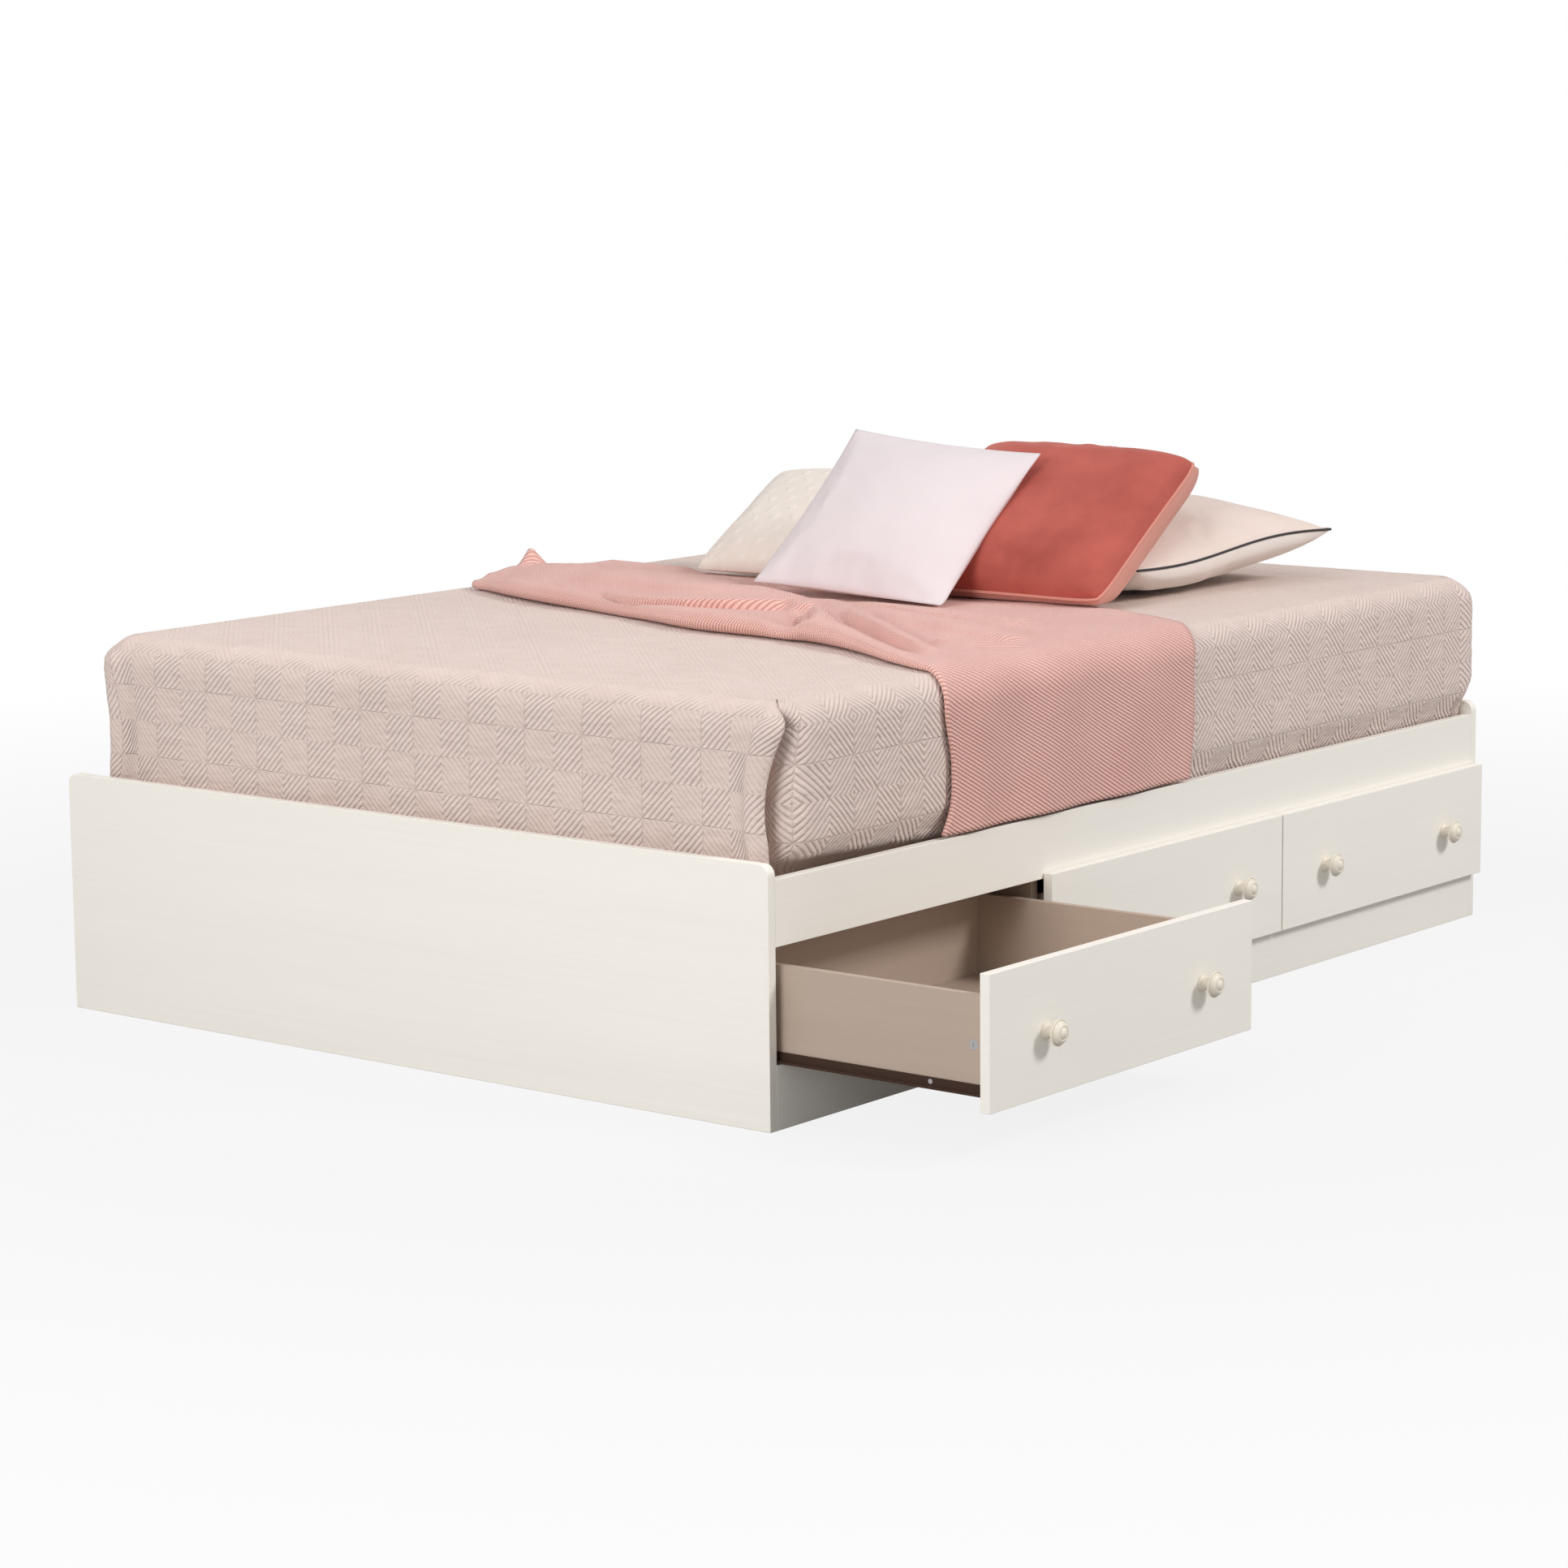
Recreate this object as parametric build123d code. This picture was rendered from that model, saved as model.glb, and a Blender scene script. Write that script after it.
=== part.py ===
from build123d import *
import math
import os

# Platform bed with three storage drawers on its +X side, made up with bedding.
# Millimetres. X runs across the bed towards the drawers, Y from foot to head, Z up from the floor.
# The origin is on the floor at the middle of the bed frame.

# Bed frame boards
bed_width = 1410.0
bed_length = 1957.0
panel_height = 376.0
board = 16.0
panel_corner_radius = 16.0
edge_ease = 1.0
rail_height = 95.0
rail_drop = 22.0
plinth_height = 93.0

# Deck and what carries it
deck_drop = 24.0
deck_thickness = 12.0
deck_board_count = 4
deck_board_gap = 1.0
deck_side_gap = 1.0
ledger_size = 20.0
ledger_screw_margin = 60.0

# Drawer bays and drawers
drawer_names = ["foot_drawer", "middle_drawer", "head_drawer"]
divider_names = ["bay_divider_foot", "bay_divider_head"]
drawer_depth = 460.0
drawer_side_height = 137.0
drawer_side_gap = 13.0
drawer_floor_gap = 2.0
drawer_side_board = 12.0
bay_back_gap = 20.0
drawer_bottom_board = 3.0
drawer_bottom_raise = 12.0
groove_depth = 6.0
groove_play = 0.15
front_height = 190.0
front_overlap = 15.0
front_end_inset = 6.0
front_space = 3.0
front_stand_off = 1.0
foot_drawer_open = 352.0

# Knobs, turned wood
knob_end_distance = 130.0
knob_drop = 4.0
knob_projection = 33.0
knob_rim_radius = 19.0
knob_rim_height = 21.0
knob_rim_half = 2.0
knob_rim_bulge = 1.0
knob_neck_radius = 8.0
knob_neck_flare = 2.5
knob_base_radius = 12.5
knob_base_height = 3.0
knob_base_round = 0.6
knob_ring_radius = 10.0
knob_ring_drop = 3.2
knob_groove_depth = 0.7
knob_groove_width = 1.3
knob_dome_bow = 1.1
knob_screw_radius = 2.0
knob_screw_bite = 12.0
knob_screw_head_radius = 4.5
knob_screw_head_height = 2.4

# Drawer runners, a lipped strip on the drawer in a channel on the bay wall
runner_web = 3.0
runner_height = 15.0
runner_lip_reach = 6.0
runner_lip_height = 3.5
runner_end_gap = 2.0
channel_back = 2.5
channel_flange = 3.2
channel_reach = 6.5
channel_height = 25.0
channel_end_gap = 2.0
slide_play = 0.3
runner_screw_radius = 1.75
runner_screw_head_radius = 3.5
runner_screw_length = 12.0
channel_screw_length = 9.5
runner_screw_front = 97.0
runner_screw_back = 400.0

# Board fasteners
cam_radius = 7.5
cam_depth = 12.5
cam_setback = 24.0
low_cam_height = 60.0
high_cam_height = 250.0
low_dowel_height = 24.0
middle_dowel_height = 155.0
cam_bolt_radius = 3.0
panel_bite = 11.0
dowel_radius = 4.0
dowel_board_bite = 19.0
drawer_cam_radius = 7.0
drawer_cam_depth = 9.0
drawer_cam_setback = 27.0
drawer_bolt_radius = 2.0
drawer_bolt_bite = 10.0
screw_radius = 2.5
screw_head_radius = 4.5
screw_head_height = 3.0
screw_length = 45.0
recess_length = 6.0
recess_width = 1.4
recess_depth = 1.2
fit = 0.1

# Mattress and quilt
mattress_side_play = 5.0
mattress_foot_play = 26.0
mattress_head_play = 2.0
mattress_overhang = 16.0
mattress_head_overhang = 35.0
bedding_height = 262.0
bedding_corner_radius = 60.0
bedding_head_radius = 32.0
bedding_least_radius = 5.0
bedding_top_round = 45.0
bedding_foot_round = 20.0
bedding_bulge_rise = 45.0
bedding_rim_gap = 2.0
round_steps = 4
quilt_thickness = 8.0
quilt_lift = 2.0
quilt_fold_radius = 5.0
quilt_fold_bow = 18.0
quilt_fold_sweep = 15.0
soft_gap = 0.3

# Throw across the bed: its places along Y, like the cushions', count from the dressing line
dressing_from_head = 978.5
throw_thickness = 6.0
throw_side_foot = -535.0
throw_side_head = 105.0
throw_hem_above_rail = 5.0
throw_fold_count = 8
throw_fold_depth = 5.0
throw_flare = 10.0
throw_foot_points = [(270.0, -360.0), (-60.0, -325.0), (-320.0, -235.0)]
throw_far_foot = -115.0
throw_far_head = 265.0
throw_head_points = [(0.0, 245.0), (480.0, 205.0)]
edge_roll_size = (62.0, 30.0)
edge_roll_inset = 40.0
inner_roll_size = (56.0, 24.0)
inner_roll_inset = 125.0
roll_end_inset = 25.0
roll_end_share = 0.55

# Cushions and pillow: width, height and thickness of each, then its place, lean and turn
lilac_size = (375.0, 395.0, 120.0)
coral_size = (430.0, 400.0, 105.0)
cream_size = (400.0, 310.0, 95.0)
pillow_size = (540.0, 500.0, 140.0)
lilac_place = (46.0, 185.0)
coral_place = (240.0, 328.0)
cream_place = (-215.0, 355.0)
pillow_place = (235.0, 588.0)
lilac_lean_angle = 38.0
coral_lean_angle = 34.0
cream_lean_angle = 29.0
pillow_lean_angle = 4.0
lilac_turn_angle = 4.0
coral_turn_angle = 1.0
cream_turn_angle = 3.0
pillow_turn_angle = 4.0
seam_thickness = 7.0
side_draw_in = 0.05
crown_fullness = 0.6
cushion_stations = (-0.5, -0.46, -0.3, 0.0, 0.3, 0.46, 0.5)

# Worked out from the driving dimensions
half_width = bed_width / 2
half_length = bed_length / 2
inner_x = half_width - board
inner_y = half_length - board
rail_top = panel_height - rail_drop
rail_bottom = rail_top - rail_height
deck_top = rail_top - deck_drop
deck_bottom = deck_top - deck_thickness
ledger_bottom = deck_bottom - ledger_size
bay_count = len(drawer_names)
bay_width = (bed_length - (bay_count + 1) * board) / bay_count
front_length = (bed_length - 2 * front_end_inset - (bay_count - 1) * front_space) / bay_count
front_back_x = half_width + front_stand_off
front_bottom = plinth_height - front_overlap
box_bottom = plinth_height + drawer_floor_gap
box_top = box_bottom + drawer_side_height
box_back_x = front_back_x - drawer_depth
bay_back_x = box_back_x - bay_back_gap
bedding_top = deck_top + bedding_height
dressing_y = half_length - dressing_from_head
rest_open = [foot_drawer_open] + [0.0] * (bay_count - 1)


def slab(x_span, y_span, z_span):
    """A square-edged board between two corners."""
    low = Vector(x_span[0], y_span[0], z_span[0])
    high = Vector(x_span[1], y_span[1], z_span[1])
    size = high - low
    return Pos(low + size * 0.5) * Box(size.X, size.Y, size.Z)


def eased(shape):
    """The same board with every edge rounded over a little."""
    return fillet(shape.edges(), edge_ease)


def rod(start, end, radius):
    """A round bar from one point to another."""
    start = Vector(*start)
    run = Vector(*end) - start
    bottom = (Align.CENTER, Align.CENTER, Align.MIN)
    return Plane(origin=start, z_dir=run) * Cylinder(radius, run.length, align=bottom)


def group(solids):
    """Loose pieces that share one node."""
    return Compound(children=list(solids))


def save(name, shape):
    shape.label = name
    export_step(shape, f"parts/{name}.step")


def bay_low(index):
    """Lower Y of a drawer bay."""
    return -inner_y + index * (bay_width + board)


# Fasteners of the frame: each is a start point, an end point and a radius
def cam_joint(sign, face_x, inward, height):
    """Cam lock in a board's inner face and its bolt into the end panel, at one board end."""
    cam_y = sign * (inner_y - cam_setback)
    middle_x = face_x + inward * board / 2
    lock = ((face_x, cam_y, height), (face_x + inward * cam_depth, cam_y, height), cam_radius)
    bolt_tip = sign * (inner_y - cam_setback + cam_radius + fit)
    bolt_root = sign * (inner_y + panel_bite)
    bolt = ((middle_x, bolt_root, height), (middle_x, bolt_tip, height), cam_bolt_radius)
    return lock, bolt


def end_dowel(sign, middle_x, height):
    """Dowel from an end panel into the end of a board that runs along Y."""
    root = sign * (inner_y + panel_bite)
    tip = sign * (inner_y - dowel_board_bite)
    return (middle_x, root, height), (middle_x, tip, height), dowel_radius


def cross_dowel(face_x, sign, y, height):
    """Dowel from a lengthwise board's face at face_x into the end of a crosswise board."""
    root = (face_x - sign * panel_bite, y, height)
    tip = (face_x + sign * dowel_board_bite, y, height)
    return root, tip, dowel_radius


def drilled(shape, fasteners):
    """A board with a close hole for each fastener that reaches it."""
    cutters = [rod(start, end, radius + fit) for start, end, radius in fasteners]
    return shape - cutters


rail_cam_z = (rail_bottom + ledger_bottom) / 2
rail_dowel_z = (rail_top + deck_top) / 2
bay_back_face_x = bay_back_x - board
far_face_x = -inner_x

divider_y = [bay_low(index) - board / 2 for index in range(1, bay_count)]
deck_pitch = 2 * inner_y / deck_board_count
brace_y = [-inner_y + index * deck_pitch for index in range(1, deck_board_count)]

ends = (-1, 1)
cam_heights = (low_cam_height, high_cam_height)
rail_cams = [cam_joint(sign, inner_x, 1, rail_cam_z) for sign in ends]
plinth_cams = [cam_joint(sign, inner_x, 1, low_cam_height) for sign in ends]
far_cams = [
    cam_joint(sign, far_face_x, -1, height) for sign in ends for height in cam_heights
]
bay_back_cams = [
    cam_joint(sign, bay_back_face_x, 1, height) for sign in ends for height in cam_heights
]
side_middle_x = inner_x + board / 2
bay_back_middle_x = bay_back_x - board / 2
rail_dowels = [end_dowel(sign, side_middle_x, rail_dowel_z) for sign in ends]
plinth_dowels = [end_dowel(sign, side_middle_x, low_dowel_height) for sign in ends]
far_dowels = [
    end_dowel(sign, -side_middle_x, height) for sign in ends for height in (middle_dowel_height, rail_dowel_z)
]
bay_back_dowels = [end_dowel(sign, bay_back_middle_x, middle_dowel_height) for sign in ends]
brace_far_dowels = [
    cross_dowel(far_face_x, 1, y, height) for y in brace_y for height in cam_heights
]
brace_bay_dowels = [
    cross_dowel(bay_back_face_x, -1, y, height) for y in brace_y for height in cam_heights
]
divider_rail_dowels = [cross_dowel(inner_x, -1, y, rail_cam_z) for y in divider_y]
divider_plinth_dowels = [cross_dowel(inner_x, -1, y, low_cam_height) for y in divider_y]


def wood_screw(head_point, direction, length, radius, head_radius, head_height):
    """Countersunk screw whose flat head lies in the surface at head_point."""
    run = Vector(*direction)
    start = Vector(*head_point)
    plane = Plane(origin=start, z_dir=run)
    bottom = (Align.CENTER, Align.CENTER, Align.MIN)
    head = plane * Cone(head_radius, radius, head_height, align=bottom)
    shank = plane * Pos(0, 0, head_height) * Cylinder(radius, length - head_height, align=bottom)
    return head + shank


def screw_hole(head_point, direction, length, radius, head_radius, head_height):
    """What a countersunk screw takes out of the boards it joins."""
    return wood_screw(head_point, direction, length + fit, radius + fit, head_radius + fit, head_height)


def cross_recess(plane, depth):
    """A plus-shaped driver recess sunk into a plane's origin, against its normal."""
    top = (Align.CENTER, Align.CENTER, Align.MAX)
    long_bar = Box(recess_length, recess_width, depth, align=top)
    cross_bar = Box(recess_width, recess_length, depth, align=top)
    return plane * (long_bar + cross_bar)


divider_screw_spots = [
    ((bay_back_face_x, y, height), (1, 0, 0)) for y in divider_y for height in cam_heights
]
divider_screw_size = (screw_length, screw_radius, screw_head_radius, screw_head_height)

# Screws that hold the deck ledgers to the boards behind them
ledger_middle_z = deck_bottom - ledger_size / 2
ledger_screw_length = ledger_size + panel_bite
ledger_screw_size = (ledger_screw_length, screw_radius, screw_head_radius, screw_head_height)
rail_ledger_x = inner_x - ledger_size
far_ledger_x = -inner_x + ledger_size
end_ledger_y = inner_y - ledger_size


def span_screws(low, high):
    """Two screw places along a ledger, one near each end."""
    return low + ledger_screw_margin, high - ledger_screw_margin


ledger_spans_y = [(bay_low(index), bay_low(index) + bay_width) for index in range(bay_count)]
ledger_spans_y[0] = (-end_ledger_y, ledger_spans_y[0][1])
ledger_spans_y[-1] = (ledger_spans_y[-1][0], end_ledger_y)
brace_edges = [-end_ledger_y] + [edge for y in brace_y for edge in (y - board / 2, y + board / 2)]
brace_edges = brace_edges + [end_ledger_y]
far_ledger_spans_y = list(zip(brace_edges[0::2], brace_edges[1::2]))
end_ledger_spans_x = [(-inner_x, bay_back_face_x), (bay_back_x, inner_x)]
ledger_screw_spots = []
for span in ledger_spans_y:
    for y in span_screws(*span):
        ledger_screw_spots.append(((rail_ledger_x, y, ledger_middle_z), (1, 0, 0)))
for span in far_ledger_spans_y:
    for y in span_screws(*span):
        ledger_screw_spots.append(((far_ledger_x, y, ledger_middle_z), (-1, 0, 0)))
for sign in (-1, 1):
    for span in end_ledger_spans_x:
        for x in span_screws(*span):
            ledger_screw_spots.append(((x, sign * end_ledger_y, ledger_middle_z), (0, sign, 0)))
ledger_holes = [screw_hole(*spot, *ledger_screw_size) for spot in ledger_screw_spots]
divider_holes = [screw_hole(*spot, *divider_screw_size) for spot in divider_screw_spots]


def fasteners_of(cams):
    return [item for pair in cams for item in pair]


# Drawer parts, built shut and then slid out
def drawer_box_low(index):
    return bay_low(index) + drawer_side_gap


def drawer_box_high(index):
    return bay_low(index) + bay_width - drawer_side_gap


def front_low(index):
    return -half_length + front_end_inset + index * (front_length + front_space)


groove_bottom = box_bottom + drawer_bottom_raise
groove_top = groove_bottom + drawer_bottom_board + 2 * groove_play
drawer_middle_z = box_bottom + drawer_side_height / 2
front_middle_z = front_bottom + front_height / 2


def knob_profile():
    """Half outline of the turned knob: X along its axis from the drawer front, Y its radius."""
    rim_low = knob_rim_height - knob_rim_half
    rim_high = knob_rim_height + knob_rim_half
    rim_edge = knob_rim_radius - knob_rim_bulge
    shoulder = knob_neck_radius + knob_neck_flare
    base_edge = knob_base_radius - knob_base_round
    neck_end = rim_low - knob_rim_half
    ring_x = knob_projection - knob_ring_drop
    base_bow = (knob_base_height / 2, knob_base_radius)
    base = ThreePointArc((0, base_edge), base_bow, (knob_base_height, base_edge))
    neck_start = (knob_base_height + knob_groove_width, shoulder)
    base_step = Line((knob_base_height, base_edge), neck_start)
    neck_waist = ((neck_start[0] + neck_end) / 2, knob_neck_radius)
    neck = ThreePointArc(neck_start, neck_waist, (neck_end, shoulder))
    under = Line((neck_end, shoulder), (rim_low, rim_edge))
    rim = ThreePointArc((rim_low, rim_edge), (knob_rim_height, knob_rim_radius), (rim_high, rim_edge))
    dome_start = (rim_high - knob_groove_depth, rim_edge - knob_groove_width)
    rim_step = Line((rim_high, rim_edge), dome_start)
    dome_bow = ((rim_high + ring_x) / 2 + knob_dome_bow, (rim_edge + knob_ring_radius) / 2)
    dome = ThreePointArc(dome_start, dome_bow, (ring_x, knob_ring_radius))
    crown_edge = knob_ring_radius - knob_groove_width
    crown_start = (ring_x - knob_groove_depth, crown_edge)
    ring_step = Line((ring_x, knob_ring_radius), crown_start)
    crown_rise = knob_projection - crown_start[0]
    crown_radius = (crown_edge**2 + crown_rise**2) / (2 * crown_rise)
    half_turn = math.asin(crown_edge / crown_radius) / 2
    crown_bow_x = knob_projection - crown_radius * (1 - math.cos(half_turn))
    crown_bow = (crown_bow_x, crown_radius * math.sin(half_turn))
    crown = ThreePointArc(crown_start, crown_bow, (knob_projection, 0))
    axis = Line((knob_projection, 0), (0, 0))
    foot = Line((0, 0), (0, base_edge))
    return make_face(
        [base, base_step, neck, under, rim, rim_step, dome, ring_step, crown, axis, foot]
    )


knob_solid = revolve(knob_profile(), Axis.X)


def knob_spots(index):
    low = front_low(index)
    front_x = front_back_x + board
    spots_y = (low + knob_end_distance, low + front_length - knob_end_distance)
    return [(front_x, y, front_middle_z - knob_drop) for y in spots_y]


def knob_screw(spot):
    """Machine screw from inside the drawer, through the front, into the knob."""
    x, y, z = spot
    shank = rod((front_back_x, y, z), (x + knob_screw_bite, y, z), knob_screw_radius)
    head = rod((front_back_x - knob_screw_head_height, y, z), (front_back_x, y, z), knob_screw_head_radius)
    facing = Plane(origin=(front_back_x - knob_screw_head_height, y, z), z_dir=(-1, 0, 0))
    return shank + head - cross_recess(facing, recess_depth)


def runner_screw_spots(index):
    """Heads of the runner screws on both sides of a drawer, with the way each is driven."""
    height = box_bottom + runner_lip_height + (runner_height - runner_lip_height) / 2
    low_face = drawer_box_low(index) - runner_web
    high_face = drawer_box_high(index) + runner_web
    places = []
    for back in (runner_screw_front, runner_screw_back):
        places.append(((front_back_x - back, low_face, height), (0, 1, 0)))
        places.append(((front_back_x - back, high_face, height), (0, -1, 0)))
    return places


runner_screw_size = (runner_screw_length, runner_screw_radius, runner_screw_head_radius, runner_web)


def drawer_cam_spots(index):
    """Outer faces of the drawer sides where the front's cams sit, with the way each bore runs."""
    x = front_back_x - drawer_cam_setback
    return [
        ((x, drawer_box_low(index), drawer_middle_z), 1),
        ((x, drawer_box_high(index), drawer_middle_z), -1),
    ]


def drawer_cam(spot, sign):
    x, y, z = spot
    body = rod(spot, (x, y + sign * drawer_cam_depth, z), drawer_cam_radius)
    facing = Plane(origin=spot, z_dir=(0, -sign, 0))
    return body - cross_recess(facing, recess_depth)


def drawer_bolt(spot, sign):
    """Bolt in the back of the drawer front that its cam pulls on."""
    x, y, z = spot
    middle_y = y + sign * drawer_side_board / 2
    tip_x = x + drawer_cam_radius + fit
    return (front_back_x + drawer_bolt_bite, middle_y, z), (tip_x, middle_y, z), drawer_bolt_radius


def side_runner(index, sign):
    """Lipped strip along the foot of one drawer side: sign is -1 on the low Y side."""
    face = drawer_box_low(index) if sign < 0 else drawer_box_high(index)
    x_span = (box_back_x + runner_end_gap, front_back_x - runner_end_gap)
    web_span = sorted((face, face + sign * runner_web))
    lip_span = sorted((face, face + sign * (runner_web + runner_lip_reach)))
    web = slab(x_span, web_span, (box_bottom, box_bottom + runner_height))
    lip = slab(x_span, lip_span, (box_bottom, box_bottom + runner_lip_height))
    return web + lip


def wall_channel(index, sign):
    """Channel on a bay wall in which the drawer's lip slides."""
    wall = bay_low(index) if sign < 0 else bay_low(index) + bay_width
    x_span = (bay_back_x + channel_end_gap, inner_x - channel_end_gap)
    low_top = box_bottom - slide_play
    high_bottom = box_bottom + runner_lip_height + slide_play
    channel_bottom = low_top - channel_flange
    back_span = sorted((wall, wall - sign * channel_back))
    flange_span = sorted((wall, wall - sign * (channel_back + channel_reach)))
    back = slab(x_span, back_span, (channel_bottom, channel_bottom + channel_height))
    lower = slab(x_span, flange_span, (channel_bottom, low_top))
    upper = slab(x_span, flange_span, (high_bottom, high_bottom + channel_flange))
    return back + lower + upper


def channel_screw_spots(index):
    """Screws that hold a bay's two channels to its walls."""
    height = box_bottom - slide_play - channel_flange + channel_height - 2 * runner_screw_head_radius
    low_face = bay_low(index) + channel_back
    high_face = bay_low(index) + bay_width - channel_back
    places = []
    for back in (runner_screw_front, runner_screw_back):
        places.append(((front_back_x - back, low_face, height), (0, -1, 0)))
        places.append(((front_back_x - back, high_face, height), (0, 1, 0)))
    return places


channel_screw_size = (channel_screw_length, runner_screw_radius, runner_screw_head_radius, channel_back)


def drawer_parts(index):
    """Every piece of one drawer, by name, where it lies at rest."""
    low = drawer_box_low(index)
    high = drawer_box_high(index)
    box_z = (box_bottom, box_top)
    side_x = (box_back_x, front_back_x)
    back_x = (box_back_x, box_back_x + drawer_side_board)
    groove_z = (groove_bottom, groove_top)
    panel_x = (box_back_x + drawer_side_board - groove_depth, front_back_x + groove_depth)
    panel_y = (low + drawer_side_board - groove_depth, high - drawer_side_board + groove_depth)
    groove = slab(panel_x, panel_y, groove_z)
    back_y = (low + drawer_side_board - groove_depth, high - drawer_side_board + groove_depth)
    back_board = slab(back_x, back_y, box_z)
    cams = drawer_cam_spots(index)
    bolts = [drawer_bolt(*spot) for spot in cams]
    cam_bores = [
        rod(spot, (spot[0], spot[1] + sign * drawer_cam_depth, spot[2]), drawer_cam_radius + fit)
        for spot, sign in cams
    ]
    spots = knob_spots(index)
    knob_bores = [
        rod((front_back_x, y, z), (x, y, z), knob_screw_radius + fit) for x, y, z in spots
    ]
    runner_holes = [screw_hole(*spot, *runner_screw_size) for spot in runner_screw_spots(index)]
    front = slab(
        (front_back_x, front_back_x + board),
        (front_low(index), front_low(index) + front_length),
        (front_bottom, front_bottom + front_height),
    )
    front = drilled(eased(front), bolts) - (knob_bores + [groove])
    left = slab(side_x, (low, low + drawer_side_board), box_z)
    right = slab(side_x, (high - drawer_side_board, high), box_z)
    side_cuts = [groove, back_board] + cam_bores + runner_holes
    play = groove_play
    bottom = slab(
        (panel_x[0] + play, panel_x[1] - play),
        (panel_y[0] + play, panel_y[1] - play),
        (groove_bottom + play, groove_bottom + play + drawer_bottom_board),
    )
    knob_holes = [
        rod((x, y, z), (x + knob_screw_bite, y, z), knob_screw_radius + fit) for x, y, z in spots
    ]
    parts = {
        "front": [front],
        "left_side": [drilled(left, bolts) - side_cuts],
        "right_side": [drilled(right, bolts) - side_cuts],
        "back": [back_board - groove],
        "bottom": [bottom],
        "knobs": [Pos(*spot) * knob_solid - hole for spot, hole in zip(spots, knob_holes)],
        "knob_screws": [knob_screw(spot) for spot in spots],
        "runners": [side_runner(index, sign) - runner_holes for sign in (-1, 1)],
        "runner_screws": [
            wood_screw(*spot, *runner_screw_size) for spot in runner_screw_spots(index)
        ],
        "cams": [drawer_cam(*spot) for spot in cams],
        "cam_bolts": [rod(*bolt) for bolt in bolts],
    }
    slide = Pos(rest_open[index], 0, 0)
    return {name: group(slide * solid for solid in solids) for name, solids in parts.items()}


# Mattress and quilt: stacked outlines, drawn in at the foot and rounded over at the top
def drawn_in(height):
    """How far the bedding's sides are drawn in at a height, by its two roundings."""
    total = 0.0
    for radius, reach in (
        (bedding_foot_round, height - deck_top),
        (bedding_top_round, bedding_top - height),
    ):
        short = max(radius - reach, 0.0)
        total += radius - math.sqrt(max(radius**2 - short**2, 0.0))
    return total


def bulge_share(height, start):
    """How much of the bulge over a board's top edge is reached at a height."""
    return min(max((height - start) / bedding_bulge_rise, 0.0), 1.0)


def bedding_sections(inset, foot_extra):
    """Outlines of the made-up mattress from the deck up, all drawn in by inset."""
    low_x = -inner_x + mattress_side_play
    high_x = inner_x - mattress_side_play
    low_y = -inner_y + mattress_foot_play
    high_y = inner_y - mattress_head_play
    side_start = rail_top + bedding_rim_gap
    head_start = panel_height + bedding_rim_gap
    turns = [math.radians(90.0 * step / round_steps) for step in range(round_steps + 1)]
    heights = [deck_top + bedding_foot_round * (1 - math.cos(turn)) for turn in turns]
    heights += [side_start, head_start, side_start + bedding_bulge_rise, head_start + bedding_bulge_rise]
    heights += [bedding_top - bedding_top_round * (1 - math.sin(turn)) for turn in turns]
    sections = []
    for height in sorted(heights):
        cut = drawn_in(height) + inset
        side_out = mattress_overhang * bulge_share(height, side_start)
        head_out = mattress_head_overhang * bulge_share(height, head_start)
        x_span = (low_x + cut, high_x + side_out - cut)
        y_span = (low_y + cut, high_y + head_out - cut)
        level = deck_top + (height - deck_top) * (1 - inset / bedding_height)
        if not sections:
            level = deck_top - foot_extra
        middle = ((x_span[0] + x_span[1]) / 2, (y_span[0] + y_span[1]) / 2, level)
        outline = Rectangle(x_span[1] - x_span[0], y_span[1] - y_span[0])
        foot_corners = outline.vertices().group_by(Axis.Y)[0]
        outline = fillet(foot_corners, max(bedding_corner_radius - cut, bedding_least_radius))
        head_corners = outline.vertices().group_by(Axis.Y)[-1]
        outline = fillet(head_corners, max(bedding_head_radius - cut, bedding_least_radius))
        sections.append(Pos(*middle) * outline)
    return sections


def bedding_form(inset, foot_extra=0.0):
    return loft(bedding_sections(inset, foot_extra), ruled=True)


def corner_fold(sign):
    """The rolled edge where the quilt's foot end folds over its side at a corner."""
    overhang = mattress_overhang if sign > 0 else 0.0
    rail_x = inner_x - mattress_side_play
    low_out = overhang * bulge_share(panel_height, rail_top + bedding_rim_gap)
    fold_y = -inner_y + mattress_foot_play + bedding_corner_radius
    bow_in = bedding_corner_radius - math.sqrt(bedding_corner_radius**2 - quilt_fold_bow**2)
    middle_z = (rail_top + bedding_top) / 2
    top = (sign * (rail_x + overhang), fold_y, bedding_top - bedding_top_round)
    middle = (sign * (rail_x + overhang - bow_in), fold_y - quilt_fold_bow, middle_z)
    low = (sign * (rail_x + low_out), fold_y + quilt_fold_sweep, panel_height)
    path = ThreePointArc(top, middle, low)
    roll = sweep(Plane(path @ 0, z_dir=path % 0) * Circle(quilt_fold_radius), path=path)
    return roll + [Pos(*end) * Sphere(quilt_fold_radius) for end in (top, low)]


# Throw: a sheet over the bed, turned down over the drawer side, with rolled folds on its foot edge
drop_x = inner_x - mattress_side_play + mattress_overhang + soft_gap
sheet_bottom = bedding_top + soft_gap
sheet_top = sheet_bottom + throw_thickness
turn_x = drop_x - soft_gap - bedding_top_round
turn_z = bedding_top - bedding_top_round
far_edge_x = -inner_x + mattress_side_play + bedding_top_round
throw_foot_line = [(turn_x, throw_side_foot - throw_flare), *throw_foot_points, (far_edge_x, throw_far_foot)]
throw_head_line = [(far_edge_x, throw_far_head), *throw_head_points, (turn_x, throw_side_head + throw_flare)]


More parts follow.
